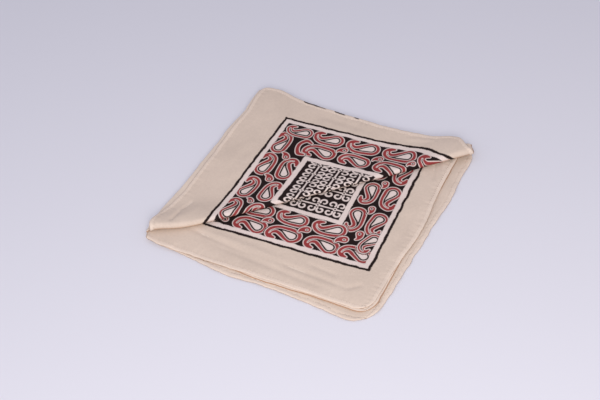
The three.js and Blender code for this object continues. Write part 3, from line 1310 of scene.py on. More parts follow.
@dataclass
class RolledHem:
    """The hand-rolled hem all round the sheet: nearly flush on the printed side, fuller on the back.

    Attributes:
        plan: How the cloth is folded.
        step: Distance from ring to ring along the hem.
        fold_steps: How many rings lie in each half of a pressed fold.
        pucker_pitch: Distance from one pucker to the next.
        pucker_rise: How much of the hem's height a pucker adds.
        fullness: How the hem's height changes along it.
        width: How its width changes along it.
        full_from: Height of the profile's points that these changes reach.
        profile: The hem's section, as distances in from the edge and heights over the cloth.
        hole_shade_least: How strongly the painted shadow in the needle holes shows everywhere.
        hole_shade_more: How much stronger it shows where it shows best.
        hole_shade_from: Distances from the fold over which that starts.
        hole_shade_to: Places along the hem over which it ends.
        line_x: Where the broken printed line starts and ends, along the far edge.
        line_y: How near the far edge it lies.
        line_breaks: Its breaks.
        line_edges: Values of the breaks between which the ink fades in.
        line_inset: Distances in from the edge of the points that it inks.
        line_height: Least height of the points that it inks.
    """

    plan: FoldPlan
    step: float = 1.2
    fold_steps: int = 3
    pucker_pitch: float = 5.2
    pucker_rise: float = 0.08
    fullness: Ripple = Ripple(0.16, 9.0, 11)
    width: Ripple = Ripple(0.05, 23.0, 12)
    full_from: float = 0.3
    profile: tuple[tuple[float, float], ...] = (
        (5.6, 0.12),
        (4.4, 0.36),
        (3.2, 0.5),
        (1.8, 0.52),
        (0.6, 0.32),
        (0.0, -0.2),
        (0.7, -0.62),
        (2.4, -0.78),
        (4.2, -0.7),
        (5.2, -0.45),
        (5.5, -0.2),
        (5.7, 0.0),
    )
    hole_shade_least: float = 0.3
    hole_shade_more: float = 0.9
    hole_shade_from: Pair = (30.0, 50.0)
    hole_shade_to: Pair = (-125.0, -100.0)
    line_x: Pair = (60.0, 136.0)
    line_y: float = -12.0
    line_breaks: Ripple = Ripple(1.0, 13.0, 21)
    line_edges: Pair = (-0.5, 0.1)
    line_inset: Pair = (0.3, 2.5)
    line_height: float = -0.2

    def stations(self) -> Array:
        """Spaces the rings along one side, close together where the pressed folds are.

        Returns:
            The rings' places.
        """
        half = self.plan.book_half
        outer = np.arange(half, self.plan.half, self.step)
        fold = np.linspace(0.0, half, self.fold_steps + 1)[:-1]
        one_side = np.concatenate([fold, outer])
        return np.concatenate([[-self.plan.half], -one_side[:0:-1], one_side])

    def border(self) -> Array:
        """Follows the cloth's edge all the way round.

        Returns:
            Rows of the edge's places across and along the cloth.
        """
        along = self.stations()
        edge = np.full(len(along), self.plan.half)
        sides = [(along, -edge), (edge, along), (-along, edge), (-edge, -along)]
        return np.concatenate([np.stack(side, axis=-1) for side in sides])

    def build(self, finish: Material) -> bpy.types.Object:
        """Builds the hem.

        Args:
            finish: Its material.

        Returns:
            The hem's object.
        """
        edge = self.border()
        count = len(edge)
        run = np.concatenate([[0.0], np.cumsum(np.hypot(*np.diff(edge, axis=0).T))])
        puckers = np.sin(run * 2.0 * math.pi / self.pucker_pitch)
        full = 1.0 + self.fullness.at(run) + self.pucker_rise * puckers
        wide = 1.0 + self.width.at(run)
        rings = []
        marks = []
        for inset, height in self.profile:
            share = (self.plan.half - inset * wide) / self.plan.half
            p = edge[:, 0] * share
            q = edge[:, 1] * share
            rise = height * (full if abs(height) > self.full_from else np.ones(count))
            rings.append(self.plan.fold(p, q) + self.plan.normals(p, q) * rise[:, None])
            marks.append(np.stack([run, np.full(count, inset), np.full(count, height)], axis=-1))
        points = np.stack(rings, axis=1).reshape(-1, 3)
        across = len(self.profile)
        faces = []
        for ring in range(count):
            after = (ring + 1) % count
            for number in range(across):
                beside = (number + 1) % across
                here = [ring * across + number, ring * across + beside]
                faces.append(here + [after * across + beside, after * across + number])
        hem = make_object("rolled_hem", self.plan.metres(points), faces, [finish])
        add_values(hem.data, "hem_mm", np.stack(marks, axis=1).reshape(-1, 3))
        add_values(hem.data, "ink", self.ink(edge, run))
        # Strength of the painted shadow in the needle holes.
        add_values(hem.data, "hole_shade", np.repeat(self.hole_shade(edge), across))
        return hem

    def hole_shade(self, edge: Array) -> Array:
        """Works out how strongly the painted shadow in the needle holes shows: most on the upper layer's
        right hem.

        Args:
            edge: Rows of the edge's places.

        Returns:
            A share for each row.
        """
        p, q = edge.T
        right = (self.plan.layer_of(p, q) == Layer.UPPER.value) & (p > q + self.plan.half)
        shown = smooth(-q, *self.hole_shade_from) * smooth(q, *self.hole_shade_to)
        return self.hole_shade_least + self.hole_shade_more * np.where(right, shown, 0.0)

    def ink(self, edge: Array, run: Array) -> Array:
        """Works out how black each point is: broken dashes of a printed line on the flap's far hem.

        Args:
            edge: Rows of the edge's places.
            run: Distances along the edge.

        Returns:
            A share for each point, ring by ring.
        """
        p, q = edge.T
        layer = self.plan.layer_of(p, q)
        x, y = self.plan.panel_place(p, q, layer)
        low, high = self.line_x
        on_line = (layer == Layer.TOP.value) & (x > low) & (x < high) & (y > self.line_y)
        amount = np.where(on_line, smooth(self.line_breaks.at(run), *self.line_edges), 0.0)
        insets, heights = np.array(self.profile).T
        low, high = self.line_inset
        inked = (heights > self.line_height) & (insets > low) & (insets < high)
        return (amount[:, None] * inked).reshape(-1)


@dataclass(frozen=True)
class Noise:
    """A noise over the cloth: its scale for each millimetre, its detail and its share in a sum."""

    scale: float
    detail: float
    share: float = 1.0


@dataclass
class Graph:
    """Adds nodes to one tree and links them by their sockets."""

    tree: bpy.types.NodeTree

    def add(self, kind: str, **settings: object) -> Node:
        """Adds a node.

        Args:
            kind: Its kind.
            settings: Its settings, by name.

        Returns:
            The node.
        """
        node = self.tree.nodes.new(kind)
        for name, value in settings.items():
            setattr(node, name, value)
        return node

    def put(self, socket: Socket, value: object) -> None:
        """Links a socket to another socket, or gives it a plain value.

        Args:
            socket: The socket.
            value: The other socket, or the value.
        """
        if isinstance(value, Socket):
            self.tree.links.new(value, socket)
        else:
            socket.default_value = value

    def wire(self, kind: str, inputs: dict[str, object], **settings: object) -> Node:
        """Adds a node with its inputs linked or given.

        Args:
            kind: Its kind.
            inputs: Its inputs, by name.
            settings: Its settings, by name.

        Returns:
            The node.
        """
        node = self.add(kind, **settings)
        for name, value in inputs.items():
            self.put(node.inputs[name], value)
        return node

    def math(self, operation: str, first: object, second: object = 0.0) -> Socket:
        """Adds one sum.

        Args:
            operation: Its kind.
            first: Its first number.
            second: Its second number.

        Returns:
            The result.
        """
        node = self.add("ShaderNodeMath", operation=operation)
        self.put(node.inputs[0], first)
        self.put(node.inputs[1], second)
        return node.outputs[0]

    def plus(self, first: object, second: object) -> Socket:
        """Returns the sum of two numbers."""
        return self.math("ADD", first, second)

    def minus(self, first: object, second: object) -> Socket:
        """Returns the first number less the second."""
        return self.math("SUBTRACT", first, second)

    def times(self, first: object, second: object) -> Socket:
        """Returns the product of two numbers."""
        return self.math("MULTIPLY", first, second)

    def least(self, first: object, second: object) -> Socket:
        """Returns the smaller of two numbers."""
        return self.math("MINIMUM", first, second)

    def most(self, first: object, second: object) -> Socket:
        """Returns the larger of two numbers."""
        return self.math("MAXIMUM", first, second)

    def length(self, first: object, second: object) -> Socket:
        """Returns the length of a way that goes so far along each of two axes."""
        return self.math("SQRT", self.plus(self.times(first, first), self.times(second, second)))

    def split(self, vector: object) -> tuple[Socket, Socket, Socket]:
        """Returns the three parts of a vector."""
        return tuple(self.wire("ShaderNodeSeparateXYZ", {"Vector": vector}).outputs)

    def spread(self, value: object, given: Pair, wanted: Pair) -> Socket:
        """Moves a number from one span to another, and keeps it inside that.

        Args:
            value: The number.
            given: The span that it comes from.
            wanted: The span that it goes to.

        Returns:
            The moved number.
        """
        names = ("Value", "From Min", "From Max", "To Min", "To Max")
        inputs = dict(zip(names, (value, *given, *wanted)))
        return self.wire("ShaderNodeMapRange", inputs, clamp=True).outputs["Result"]

    def below(self, value: object, edge: float, soft: float) -> Socket:
        """Returns 1 where a value is below an edge and 0 above it, with a soft way between."""
        return self.spread(value, (edge - soft, edge + soft), (1.0, 0.0))

    def between(self, value: object, edges: Pair, soft: float) -> Socket:
        """Returns 1 where a value is between two edges."""
        under = self.below(value, edges[1], soft)
        return self.times(under, self.minus(1.0, self.below(value, edges[0], soft)))

    def mix(self, share: object, first: object, second: object, blend: str = "MIX") -> Socket:
        """Mixes two colours.

        Args:
            share: The second colour's share.
            first: The first colour.
            second: The second colour.
            blend: How they are mixed.

        Returns:
            The mixed colour.
        """
        node = self.add("ShaderNodeMix", data_type="RGBA", blend_type=blend)
        for number, value in ((0, share), (6, first), (7, second)):
            self.put(node.inputs[number], value)
        return node.outputs[2]

    def noise(self, vector: object, noise: Noise) -> Socket:
        """Adds a noise over the cloth.

        Args:
            vector: Places in the cloth, in millimetres.
            noise: Which noise.

        Returns:
            Values of about 0 to 1.
        """
        inputs = {"Vector": vector, "Scale": noise.scale, "Detail": noise.detail}
        return self.wire("ShaderNodeTexNoise", inputs).outputs["Fac"]

    def stored(self, name: str, kind: str = "Fac") -> Socket:
        """Returns a value that the mesh stores."""
        node = self.add("ShaderNodeAttribute", attribute_name=name)
        return node.outputs[kind]

    def group(self, name: str, **given: object) -> Socket:
        """Puts in a shared group.

        Args:
            name: Its name.
            given: Its inputs, by name.

        Returns:
            Its output.
        """
        return self.wire("ShaderNodeGroup", given, node_tree=bpy.data.node_groups[name]).outputs[0]


@dataclass
class HemStitches:
    """Small running stitches that hold the rolled hem, set out by a node tree along one line.

    Attributes:
        plan: How the cloth is folded.
        inset: Distance of the stitches from the edge.
        height: Their height over the middle of the cloth.
        pitch: Distance from one stitch to the next.
        length: Length of a stitch.
        radius: Radius of the thread.
        sides: How many sides the thread has.
        uneven: Least and greatest size of a stitch.
        seed: Seed of their sizes.
    """

    plan: FoldPlan
    inset: float = 4.8
    height: float = 0.34
    pitch: float = 3.1
    length: float = 1.2
    radius: float = 0.13
    sides: int = 5
    uneven: Pair = (0.7, 1.15)
    seed: int = 4

    def path(self) -> bpy.types.Object:
        """Draws the stitch line.

        Returns:
            The line, as the edges of a loose mesh.
        """
        hem = RolledHem(self.plan)
        edge = hem.border()[::2] * (self.plan.half - self.inset) / self.plan.half
        places = self.plan.fold(edge[:, 0], edge[:, 1])
        places += self.plan.normals(edge[:, 0], edge[:, 1]) * self.height
        mesh = bpy.data.meshes.new("stitch_line")
        count = len(edge)
        links = [(number, (number + 1) % count) for number in range(count)]
        mesh.from_pydata(self.plan.metres(places).tolist(), links, [])
        made = bpy.data.objects.new("stitch_line", mesh)
        bpy.context.scene.collection.objects.link(made)
        return made

    def tree(self) -> bpy.types.NodeTree:
        """Builds the node tree that puts one small stitch at each step of the line.

        Returns:
            The tree.
        """
        tree = bpy.data.node_groups.new("stitch_run", "GeometryNodeTree")
        kinds = {"Geometry": "Geometry", "Pitch": "Float", "Length": "Float", "Radius": "Float"}
        for name, kind in (kinds | {"Seed": "Int", "Material": "Material"}).items():
            tree.interface.new_socket(name, in_out="INPUT", socket_type=f"NodeSocket{kind}")
        tree.interface.new_socket("Geometry", in_out="OUTPUT", socket_type="NodeSocketGeometry")
        graph = Graph(tree)
        given = graph.add("NodeGroupInput").outputs
        curve = graph.wire("GeometryNodeMeshToCurve", {"Mesh": given["Geometry"]}).outputs["Curve"]
        spacing = {"Curve": curve, "Length": given["Pitch"]}
        spaced = graph.wire("GeometryNodeResampleCurve", spacing, mode="LENGTH").outputs["Curve"]
        shape = {"Vertices": self.sides, "Radius": given["Radius"], "Depth": given["Length"]}
        stitch = graph.wire("GeometryNodeMeshCylinder", shape).outputs["Mesh"]
        tangent = graph.add("GeometryNodeInputTangent").outputs["Tangent"]
        align = graph.wire("FunctionNodeAlignRotationToVector", {"Vector": tangent}, axis="Z")
        turn = align.outputs["Rotation"]
        sizes = {"Min": self.uneven[0], "Max": self.uneven[1], "Seed": given["Seed"]}
        size = graph.wire("FunctionNodeRandomValue", sizes, data_type="FLOAT").outputs["Value"]
        places = {"Points": spaced, "Instance": stitch, "Rotation": turn, "Scale": size}
        placed = graph.wire("GeometryNodeInstanceOnPoints", places).outputs["Instances"]
        real = graph.wire("GeometryNodeRealizeInstances", {"Geometry": placed}).outputs["Geometry"]
        finish = {"Geometry": real, "Material": given["Material"]}
        painted = graph.wire("GeometryNodeSetMaterial", finish).outputs["Geometry"]
        graph.wire("NodeGroupOutput", {"Geometry": painted})
        return tree

    def build(self, finish: Material) -> bpy.types.Object:
        """Sews the stitches.

        Args:
            finish: The thread's material.

        Returns:
            The stitches' object, a plain mesh.
        """
        line = self.path()
        sewing = line.modifiers.new("stitch_run", "NODES")
        sewing.node_group = self.tree()
        wanted = {
            "Pitch": self.pitch * MM,
            "Length": self.length * MM,
            "Radius": self.radius * MM,
            "Seed": self.seed,
            "Material": finish,
        }
        for item in sewing.node_group.interface.items_tree:
            if item.in_out == "INPUT" and item.name in wanted:
                sewing[item.identifier] = wanted[item.name]
        bpy.context.view_layer.update()
        graph = bpy.context.evaluated_depsgraph_get()
        mesh = bpy.data.meshes.new_from_object(line.evaluated_get(graph), depsgraph=graph)
        stitches = bpy.data.objects.new("hem_stitches", mesh)
        bpy.context.scene.collection.objects.link(stitches)
        bpy.data.objects.remove(line)
        return stitches


def linear(red: float, green: float, blue: float) -> tuple[float, float, float, float]:
    """Works out a linear colour.

    Args:
        red: Its red, as a display value of 0 to 255.
        green: Its green.
        blue: Its blue.

    Returns:
        The linear red, green and blue, and 1.
    """
    parts = []
    for part in (red, green, blue):
        share = part / 255.0
        parts.append(share / 12.92 if share <= 0.04045 else ((share + 0.055) / 1.055) ** 2.4)
    return parts[0], parts[1], parts[2], 1.0


def new_group(name: str, inputs: dict[str, str], output: str) -> tuple[Graph, list[Socket], Socket]:
    """Starts a shader node group with one output.

    Args:
        name: Its name.
        inputs: Kinds of its inputs, by name.
        output: Name of its output, a number.

    Returns:
        Its graph, the sockets of its inputs inside it, and the socket that takes its output.
    """
    tree = bpy.data.node_groups.new(name, "ShaderNodeTree")
    for label, kind in inputs.items():
        tree.interface.new_socket(label, in_out="INPUT", socket_type=f"NodeSocket{kind}")
    tree.interface.new_socket(output, in_out="OUTPUT", socket_type="NodeSocketFloat")
    graph = Graph(tree)
    given = graph.add("NodeGroupInput")
    result = graph.add("NodeGroupOutput")
    return graph, [given.outputs[label] for label in inputs], result.inputs[output]


@dataclass(frozen=True)
class Effects:
    """The node groups that the cotton's materials share.

    Attributes:
        thread: Distance from yarn to yarn.
        yarn_wander: How the yarns wander.
        fuzz: The cotton's loose fibres.
        yarn_height: Height of the yarns beside that of the fibres.
        tone_parts: The slow and quick changes of tone.
        edge_parts: The slow and quick moves of a printed edge.
        scroll_place: A scroll's centre, measured from its cluster's.
        scroll_radii: A scroll's radius at its start and at its end.
        scroll_start: The angle at which it starts.
        scroll_turn: How far round it winds.
        stroke: Half width of its stroke.
        link: Half width of the link between the scrolls.
        dot: Radius of the dot in the link.
        ring: Radius of the ring round the dot.
    """

    thread: float = 0.62
    yarn_wander: Noise = Noise(0.35, 1.0)
    fuzz: Noise = Noise(1.4, 3.0)
    yarn_height: float = 0.35
    tone_parts: tuple[Noise, ...] = (Noise(0.018, 2.0, 0.6), Noise(0.45, 3.0, 0.4))
    edge_parts: tuple[Noise, ...] = (Noise(0.09, 1.0, 2.4), Noise(0.7, 1.0, 0.9))
    scroll_place: Pair = (4.9, 6.0)
    scroll_radii: Pair = (3.8, 1.3)
    scroll_start: float = -2.41
    scroll_turn: float = 5.7
    stroke: float = 1.05
    link: float = 0.85
    dot: float = 1.1
    ring: float = 2.3

    def build(self) -> None:
        """Makes every group."""
        self.weave()
        self.tones()
        self.ink_edge()
        self.scrolls()

    def scrolls(self) -> None:
        """Makes the distance outside four mirrored scrolls, their links and the ring round their dot."""
        graph, (place,), result = new_group("scrolls", {"Place": "Vector"}, "Distance")
        aside, ahead = (graph.math("ABSOLUTE", part) for part in graph.split(place)[:2])
        from_curl = (
            graph.minus(aside, self.scroll_place[0]),
            graph.minus(ahead, self.scroll_place[1]),
        )
        angle = graph.minus(self.scroll_start, graph.math("ARCTAN2", from_curl[1], from_curl[0]))
        wound = graph.math("FLOORED_MODULO", angle, 2.0 * math.pi)
        shrunk = graph.times(graph.math("POWER", wound, 3.0), self.scroll_winding())
        spiral = graph.minus(self.scroll_radii[0], shrunk)
        from_line = graph.math("ABSOLUTE", graph.minus(graph.length(*from_curl), spiral))
        past_end = graph.times(graph.minus(wound, self.scroll_turn), spiral)
        stroke = graph.most(graph.minus(from_line, self.stroke), past_end)
        from_dot = graph.length(aside, ahead)
        linked = graph.least(stroke, graph.minus(ahead, self.link))
        ringed = graph.least(linked, graph.minus(from_dot, self.ring))
        graph.put(result, graph.most(ringed, graph.minus(self.dot, from_dot)))

    def scroll_winding(self) -> float:
        """Returns how much a scroll's radius shrinks for the cube of its turn."""
        return (self.scroll_radii[0] - self.scroll_radii[1]) / self.scroll_turn**3

    def weave(self) -> None:
        """Makes the height of a plain weave with uneven yarns."""
        graph, (place,), result = new_group("weave", {"Place": "Vector"}, "Height")
        number = 2.0 * math.pi / self.thread
        wander = graph.noise(place, self.yarn_wander)
        ways = (graph.plus(graph.times(part, number), wander) for part in graph.split(place)[:2])
        yarn = graph.times(*(graph.math("SINE", way) for way in ways))
        graph.put(result, graph.plus(graph.times(yarn, self.yarn_height), graph.noise(place, self.fuzz)))

    def tones(self) -> None:
        """Makes the slow and quick changes of tone of washed cotton."""
        graph, (place,), result = new_group("cotton_tone", {"Place": "Vector"}, "Tone")
        parts = (graph.times(graph.noise(place, part), part.share) for part in self.tone_parts)
        graph.put(result, graph.plus(*parts))

    def ink_edge(self) -> None:
        """Makes a hand-printed edge: it moves a distance in and out a little, slowly and quickly."""
        inputs = {"Place": "Vector", "Distance": "Float", "Amount": "Float"}
        graph, (place, distance, amount), result = new_group("ink_edge", inputs, "Distance")
        moves = []
        for part in self.edge_parts:
            moves.append(graph.times(graph.minus(graph.noise(place, part), 0.5), part.share))
        graph.put(result, graph.plus(distance, graph.times(graph.plus(*moves), amount)))


def new_material(name: str) -> tuple[Material, Graph, Node]:
    """Starts a material.

    Args:
        name: Its name.

    Returns:
        The material, its graph and its shader node.
    """
    material = bpy.data.materials.new(name)
    material.use_nodes = True
    return material, Graph(material.node_tree), material.node_tree.nodes["Principled BSDF"]


def frame_distance(graph: Graph) -> Socket:
    """Returns how far out a point lies in its panel, along the longer of its two ways."""
    sides = [graph.math("ABSOLUTE", part) for part in graph.split(graph.stored("panel_mm", "Vector"))[:2]]
    return graph.most(*sides)


@dataclass(frozen=True)
class CottonSurface:
    """What all the cotton shares: its tone, its soft surface and its weave, whose depth is given."""

    tones: Pair = (0.3, 0.7)
    shades: Pair = (0.9, 1.06)
    roughness: float = 0.92
    specular: float = 0.1
    bump: float = 0.35
    depth: float = 0.12

    def dress(self, graph: Graph, shader: Node, place: Socket, colour: Socket) -> None:
        """Finishes a cotton material.

        Args:
            graph: The material's graph.
            shader: Its shader node.
            place: Where a point lies in the cloth, in millimetres.
            colour: Its colour before the tone.
        """
        level = graph.spread(graph.group("cotton_tone", Place=place), self.tones, self.shades)
        toned = graph.wire("ShaderNodeVectorMath", {"Scale": level}, operation="SCALE")
        graph.put(toned.inputs[0], colour)
        graph.put(shader.inputs["Base Color"], toned.outputs[0])
        shader.inputs["Roughness"].default_value = self.roughness
        shader.inputs["Specular IOR Level"].default_value = self.specular
        height = graph.group("weave", Place=place)
        weave = {"Strength": self.bump, "Distance": self.depth * MM, "Height": height}
        graph.put(shader.inputs["Normal"], graph.wire("ShaderNodeBump", weave).outputs["Normal"])


@dataclass(frozen=True)
class PrintedCotton:
    """The printed face: undyed cotton with black and madder red blocks, their lines left in reserve.

    Attributes:
        cloth: Colour of the margin.
        reserve: Colour of the cloth inside the frame.
        black: The black ink.
        red: The red ink.
        line: Where the black outline of the frame lies.
        band: Where the black band of motifs lies.
        middle: Where the black middle ends.
        soft: How soft a printed edge is.
        frame_rough: How rough the frame's edges are.
        motif_rough: How rough the edges of the motifs and scrolls are.
        heart_rough: How rough the edges inside the motifs are.
        motif_edges: Where a motif's reserve and its red start, measured from its outline.
        heart_inset: Where what is inside a motif may start.
        heart_edges: Where the heart's reserve, its black and its inner reserve start.
        fold_shade_band: Where the painted shade on the underside of the turned fold's roll lies, measured
            past the fold.
        fold_shade_soft: How soft that painted shade is.
        fold_shade_share: How strong it is.
        crease: The colour of that painted shade, a warm brown.
    """

    cloth: Colour = (211.0, 194.0, 178.0)
    reserve: Colour = (222.0, 207.0, 199.0)
    black: Colour = (35.0, 25.0, 24.0)
    red: Colour = (146.0, 59.0, 59.0)
    line: Pair = (90.8, 93.9)
    band: Pair = (42.5, 85.5)
    middle: float = 36.7
    soft: float = 0.4
    frame_rough: float = 1.3
    motif_rough: float = 0.35
    heart_rough: float = 0.4
    motif_edges: Pair = (-0.25, -1.2)
    heart_inset: float = -2.2
    heart_edges: tuple[float, float, float] = (2.5, 1.8, 0.0)
    # Painted shade along the underside of the turned fold: where it lies, how soft, how strong and its
    # colour.
    fold_shade_band: Pair = (2.6, 4.6)
    fold_shade_soft: float = 1.2
    fold_shade_share: float = 0.75
    crease: Colour = (226.0, 196.0, 170.0)

    def build(self) -> Material:
        """Makes the material.

        Returns:
            The material.
        """
        material, graph, shader = new_material("printed_cotton")
        place = graph.stored("cloth_mm", "Vector")
        reserve, black, red = (linear(*ink) for ink in (self.reserve, self.black, self.red))

        def rough(distance: Socket, amount: float) -> Socket:
            """Returns a distance with a hand-printed edge."""
            return graph.group("ink_edge", Place=place, Distance=distance, Amount=amount)

        def paint(colour: object, where: Socket, distance: Socket, edge: float, ink: tuple) -> Socket:
            """Returns a colour with ink where a distance is below an edge."""
            return graph.mix(graph.times(where, graph.below(distance, edge, self.soft)), colour, ink)

        framed = rough(frame_distance(graph), self.frame_rough)
        motif = rough(graph.stored("motif_mm"), self.motif_rough)
        heart = rough(graph.stored("heart_mm"), self.heart_rough)
        curled = graph.group("scrolls", Place=graph.stored("cluster_mm", "Vector"))
        scroll = rough(curled, self.motif_rough)
        colour = graph.mix(graph.below(framed, self.line[0], self.soft), linear(*self.cloth), reserve)
        colour = graph.mix(graph.between(framed, self.line, self.soft), colour, black)
        in_band = graph.between(framed, self.band, self.soft)
        colour = graph.mix(in_band, colour, black)
        for edge, ink in zip(self.motif_edges, (reserve, red)):
            colour = paint(colour, in_band, motif, edge, ink)
        inside = graph.times(in_band, graph.below(motif, self.heart_inset, self.soft))
        for edge, ink in zip(self.heart_edges, (reserve, black, reserve)):
            colour = paint(colour, inside, heart, edge, ink)
        in_middle = graph.below(framed, self.middle, self.soft)
        colour = graph.mix(in_middle, colour, black)
        colour = paint(colour, in_middle, scroll, 0.0, reserve)
        # Painted shade: a thin warm brown line along the underside of the turned fold's roll.
        fold_shade_band = graph.between(graph.stored("turn_mm"), self.fold_shade_band, self.fold_shade_soft)
        fold_shade_amount = graph.times(fold_shade_band, self.fold_shade_share)
        colour = graph.mix(fold_shade_amount, colour, linear(*self.crease), "MULTIPLY")
        CottonSurface().dress(graph, shader, place, colour)
        return material


@dataclass(frozen=True)
class PlainCotton:
    """The back: undyed cotton with the print showing through faintly, in patches."""

    cloth: Colour = (219.0, 203.0, 187.0)
    ghost: Colour = (178.0, 156.0, 146.0)
    line: Pair = (91.1, 93.5)
    band: Pair = (42.5, 85.5)
    middle: float = 36.7
    soft: float = 0.7
    patches: Noise = Noise(0.12, 3.0)

    def build(self) -> Material:
        """Makes the material.

        Returns:
            The material.
        """
        material, graph, shader = new_material("plain_cotton")
        place = graph.stored("cloth_mm", "Vector")
        framed = frame_distance(graph)
        lines = graph.most(*(graph.between(framed, edges, self.soft) for edges in (self.line, self.band)))
        shown = graph.most(lines, graph.below(framed, self.middle, self.soft))
        share = graph.times(shown, graph.noise(place, self.patches))
        colour = graph.mix(share, linear(*self.cloth), linear(*self.ghost))
        CottonSurface().dress(graph, shader, place, colour)
        return material


@dataclass(frozen=True)
class HemCotton:
    """The rolled hem: the same cotton, with painted shade under its outer edge and painted shadow in the
    needle holes of its stitches.

    Attributes:
        cloth: Colour of the hem.
        under: Colour of the painted shade under its outer edge.
        hole_shadow: Colour of the painted shadow in the needle holes.
        black: The ink of the printed line.
        pitch: Distance from one needle hole to the next.
        hole: Values of the holes' wave below which one lies, and how soft its edge is.
        hole_line: Distances in from the edge between which the holes lie.
        soft: How soft the line of holes and the outer edge are.
        patches: How unevenly the holes' painted shadow shows.
        edge_height: Height under which a point lies under the edge and takes the painted shade, and how
            soft that is.
        edge_inset: How far in from the edge it may lie.
    """

    cloth: Colour = (221.0, 204.0, 188.0)
    # Painted shade: a warm brown where the hem's outer edge meets the layer below.
    under: Colour = (178.0, 140.0, 112.0)
    # Painted shadow in the needle holes.
    hole_shadow: Colour = (140.0, 116.0, 102.0)
    black: Colour = (44.0, 34.0, 33.0)
    pitch: float = 3.1
    hole: Pair = (-0.55, 0.3)
    hole_line: Pair = (4.0, 5.6)
    soft: float = 0.3
    patches: Noise = Noise(0.2, 2.0)
    edge_height: Pair = (-0.1, 0.2)
    edge_inset: float = 1.0

    def build(self) -> Material:
        """Makes the material.

        Returns:
            The material.
        """
        material, graph, shader = new_material("hem_cotton")
        place = graph.stored("hem_mm", "Vector")
        run, inset, height = graph.split(place)
        # Painted shadow in the needle holes: a dark dot at each stitch.
        beat = graph.math("SINE", graph.times(run, 2.0 * math.pi / self.pitch))
        holes = graph.below(graph.times(beat, -1.0), *self.hole)
        in_line = graph.times(holes, graph.between(inset, self.hole_line, self.soft))
        shown = graph.times(in_line, graph.noise(place, self.patches))
        hole_shadow_mask = graph.times(shown, graph.stored("hole_shade"))
        # Painted shade along the hem's lower outer edge.
        low = graph.below(height, *self.edge_height)
        edge_shade_mask = graph.times(low, graph.below(inset, self.edge_inset, self.soft))
        colour = linear(*self.cloth)
        # Painted shade at the edge, painted shadow in the needle holes, and the printed line's real ink.
        shades_and_ink = ((edge_shade_mask, self.under), (hole_shadow_mask, self.hole_shadow), (graph.stored("ink"), self.black))
        for share, overlay_colour in shades_and_ink:
            colour = graph.mix(share, colour, linear(*overlay_colour))
        CottonSurface().dress(graph, shader, place, colour)
        return material


@dataclass(frozen=True)
class PlainFinish:
    """A smooth finish of one colour."""

    name: str
    colour: Colour
    roughness: float
    specular: float = 0.2

    def build(self) -> Material:
        """Makes the material.

        Returns:
            The material.
        """
        material, _, shader = new_material(self.name)
        shader.inputs["Base Color"].default_value = linear(*self.colour)
        shader.inputs["Roughness"].default_value = self.roughness
        shader.inputs["Specular IOR Level"].default_value = self.specular
        return material


@dataclass(frozen=True)
class Lamp:
    """A soft square light: its name, its place and side in metres, its power in watts, its colour."""

    name: str
    place: tuple[float, float, float]
    side: float
    power: float
    colour: Colour


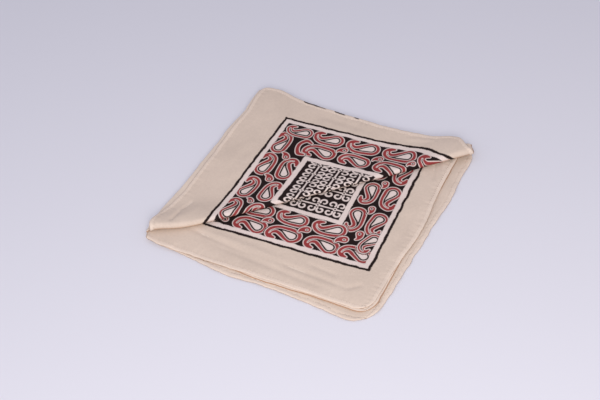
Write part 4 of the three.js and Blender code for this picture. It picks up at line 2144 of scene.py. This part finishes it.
@dataclass
class Stage:
    """The pale floor, the soft lights and the camera, none of them part of the object.

    Places and distances are in metres, apart from the lens and the sensor, and turns in degrees.
    """

    floor_size: float = 6.0
    floor_drop: float = 0.0003
    floor_colour: Colour = (218.0, 218.0, 225.0)
    floor_roughness: float = 0.8
    sky: Colour = (231.0, 229.0, 243.0)
    sky_strength: float = 0.65
    lamps: tuple[Lamp, ...] = (
        Lamp("key", (0.6, -1.05, 0.95), 0.9, 17.0, (255.0, 250.0, 246.0)),
        Lamp("fill", (-0.9, -1.0, 1.2), 1.6, 3.0, (240.0, 243.0, 255.0)),
    )
    camera_place: tuple[float, float, float] = (0.35579, -0.65981, 0.71897)
    camera_turn: tuple[float, float, float] = (29.5, 46.0, -5.0)
    lens: float = 57.0
    sensor: float = 36.0
    nearest: float = 0.01

    def build(self) -> None:
        """Sets up the floor, the lights and the camera."""
        scene = bpy.context.scene
        scene.view_settings.view_transform = "Standard"
        self.floor()
        self.world(scene)
        for lamp in self.lamps:
            self.light(lamp)
        self.camera(scene)

    def floor(self) -> None:
        """Lays the floor just under the cloth."""
        ways = ((-1.0, -1.0), (1.0, -1.0), (1.0, 1.0), (-1.0, 1.0))
        half = self.floor_size / 2.0
        corners = np.array([(half * x, half * y, -self.floor_drop) for x, y in ways])
        finish = PlainFinish("floor", self.floor_colour, self.floor_roughness).build()
        make_object("floor", corners, [[0, 1, 2, 3]], [finish])

    def world(self, scene: bpy.types.Scene) -> None:
        """Lights the scene evenly from all round.

        Args:
            scene: The scene.
        """
        world = bpy.data.worlds.new("studio")
        world.use_nodes = True
        back = world.node_tree.nodes["Background"]
        back.inputs["Color"].default_value = linear(*self.sky)
        back.inputs["Strength"].default_value = self.sky_strength
        scene.world = world

    def light(self, lamp: Lamp) -> None:
        """Hangs a light that faces the cloth.

        Args:
            lamp: The light.
        """
        light = bpy.data.lights.new(lamp.name, "AREA")
        light.size = lamp.side
        light.energy = lamp.power
        light.color = linear(*lamp.colour)[:3]
        made = bpy.data.objects.new(lamp.name, light)
        made.location = lamp.place
        made.rotation_euler = Vector(lamp.place).to_track_quat("Z", "Y").to_euler()
        bpy.context.scene.collection.objects.link(made)

    def camera(self, scene: bpy.types.Scene) -> None:
        """Sets the camera where the photograph was taken from.

        Args:
            scene: The scene.
        """
        lens = bpy.data.cameras.new("camera")
        lens.lens = self.lens
        lens.sensor_width = self.sensor
        lens.sensor_fit = "HORIZONTAL"
        lens.clip_start = self.nearest
        made = bpy.data.objects.new("camera", lens)
        heading, tilt, roll = (
            Matrix.Rotation(math.radians(angle), 4, axis) for angle, axis in zip(self.camera_turn, "ZXZ")
        )
        made.matrix_world = Matrix.Translation(self.camera_place) @ heading @ tilt @ roll
        scene.collection.objects.link(made)
        scene.camera = made


def main() -> None:
    """Builds the bandana and its stage, and reports each piece."""
    logging.basicConfig(level=logging.INFO, format="%(name)s: %(message)s")
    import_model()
    Stage().build()
    Effects().build()
    thread = PlainFinish("thread", colour=(216.0, 199.0, 182.0), roughness=0.8)
    plan = FoldPlan()
    sheet = PrintedSheet(plan, Blocks()).build(PrintedCotton().build(), PlainCotton().build())
    hem = RolledHem(plan).build(HemCotton().build())
    stitches = HemStitches(plan).build(thread.build())
    for piece in (sheet, hem, stitches):
        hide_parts(NODE)
        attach(piece, BODY)
        LOG.info("%s: %d faces", piece.name, len(piece.data.polygons))


if __name__ == "__main__":
    main()
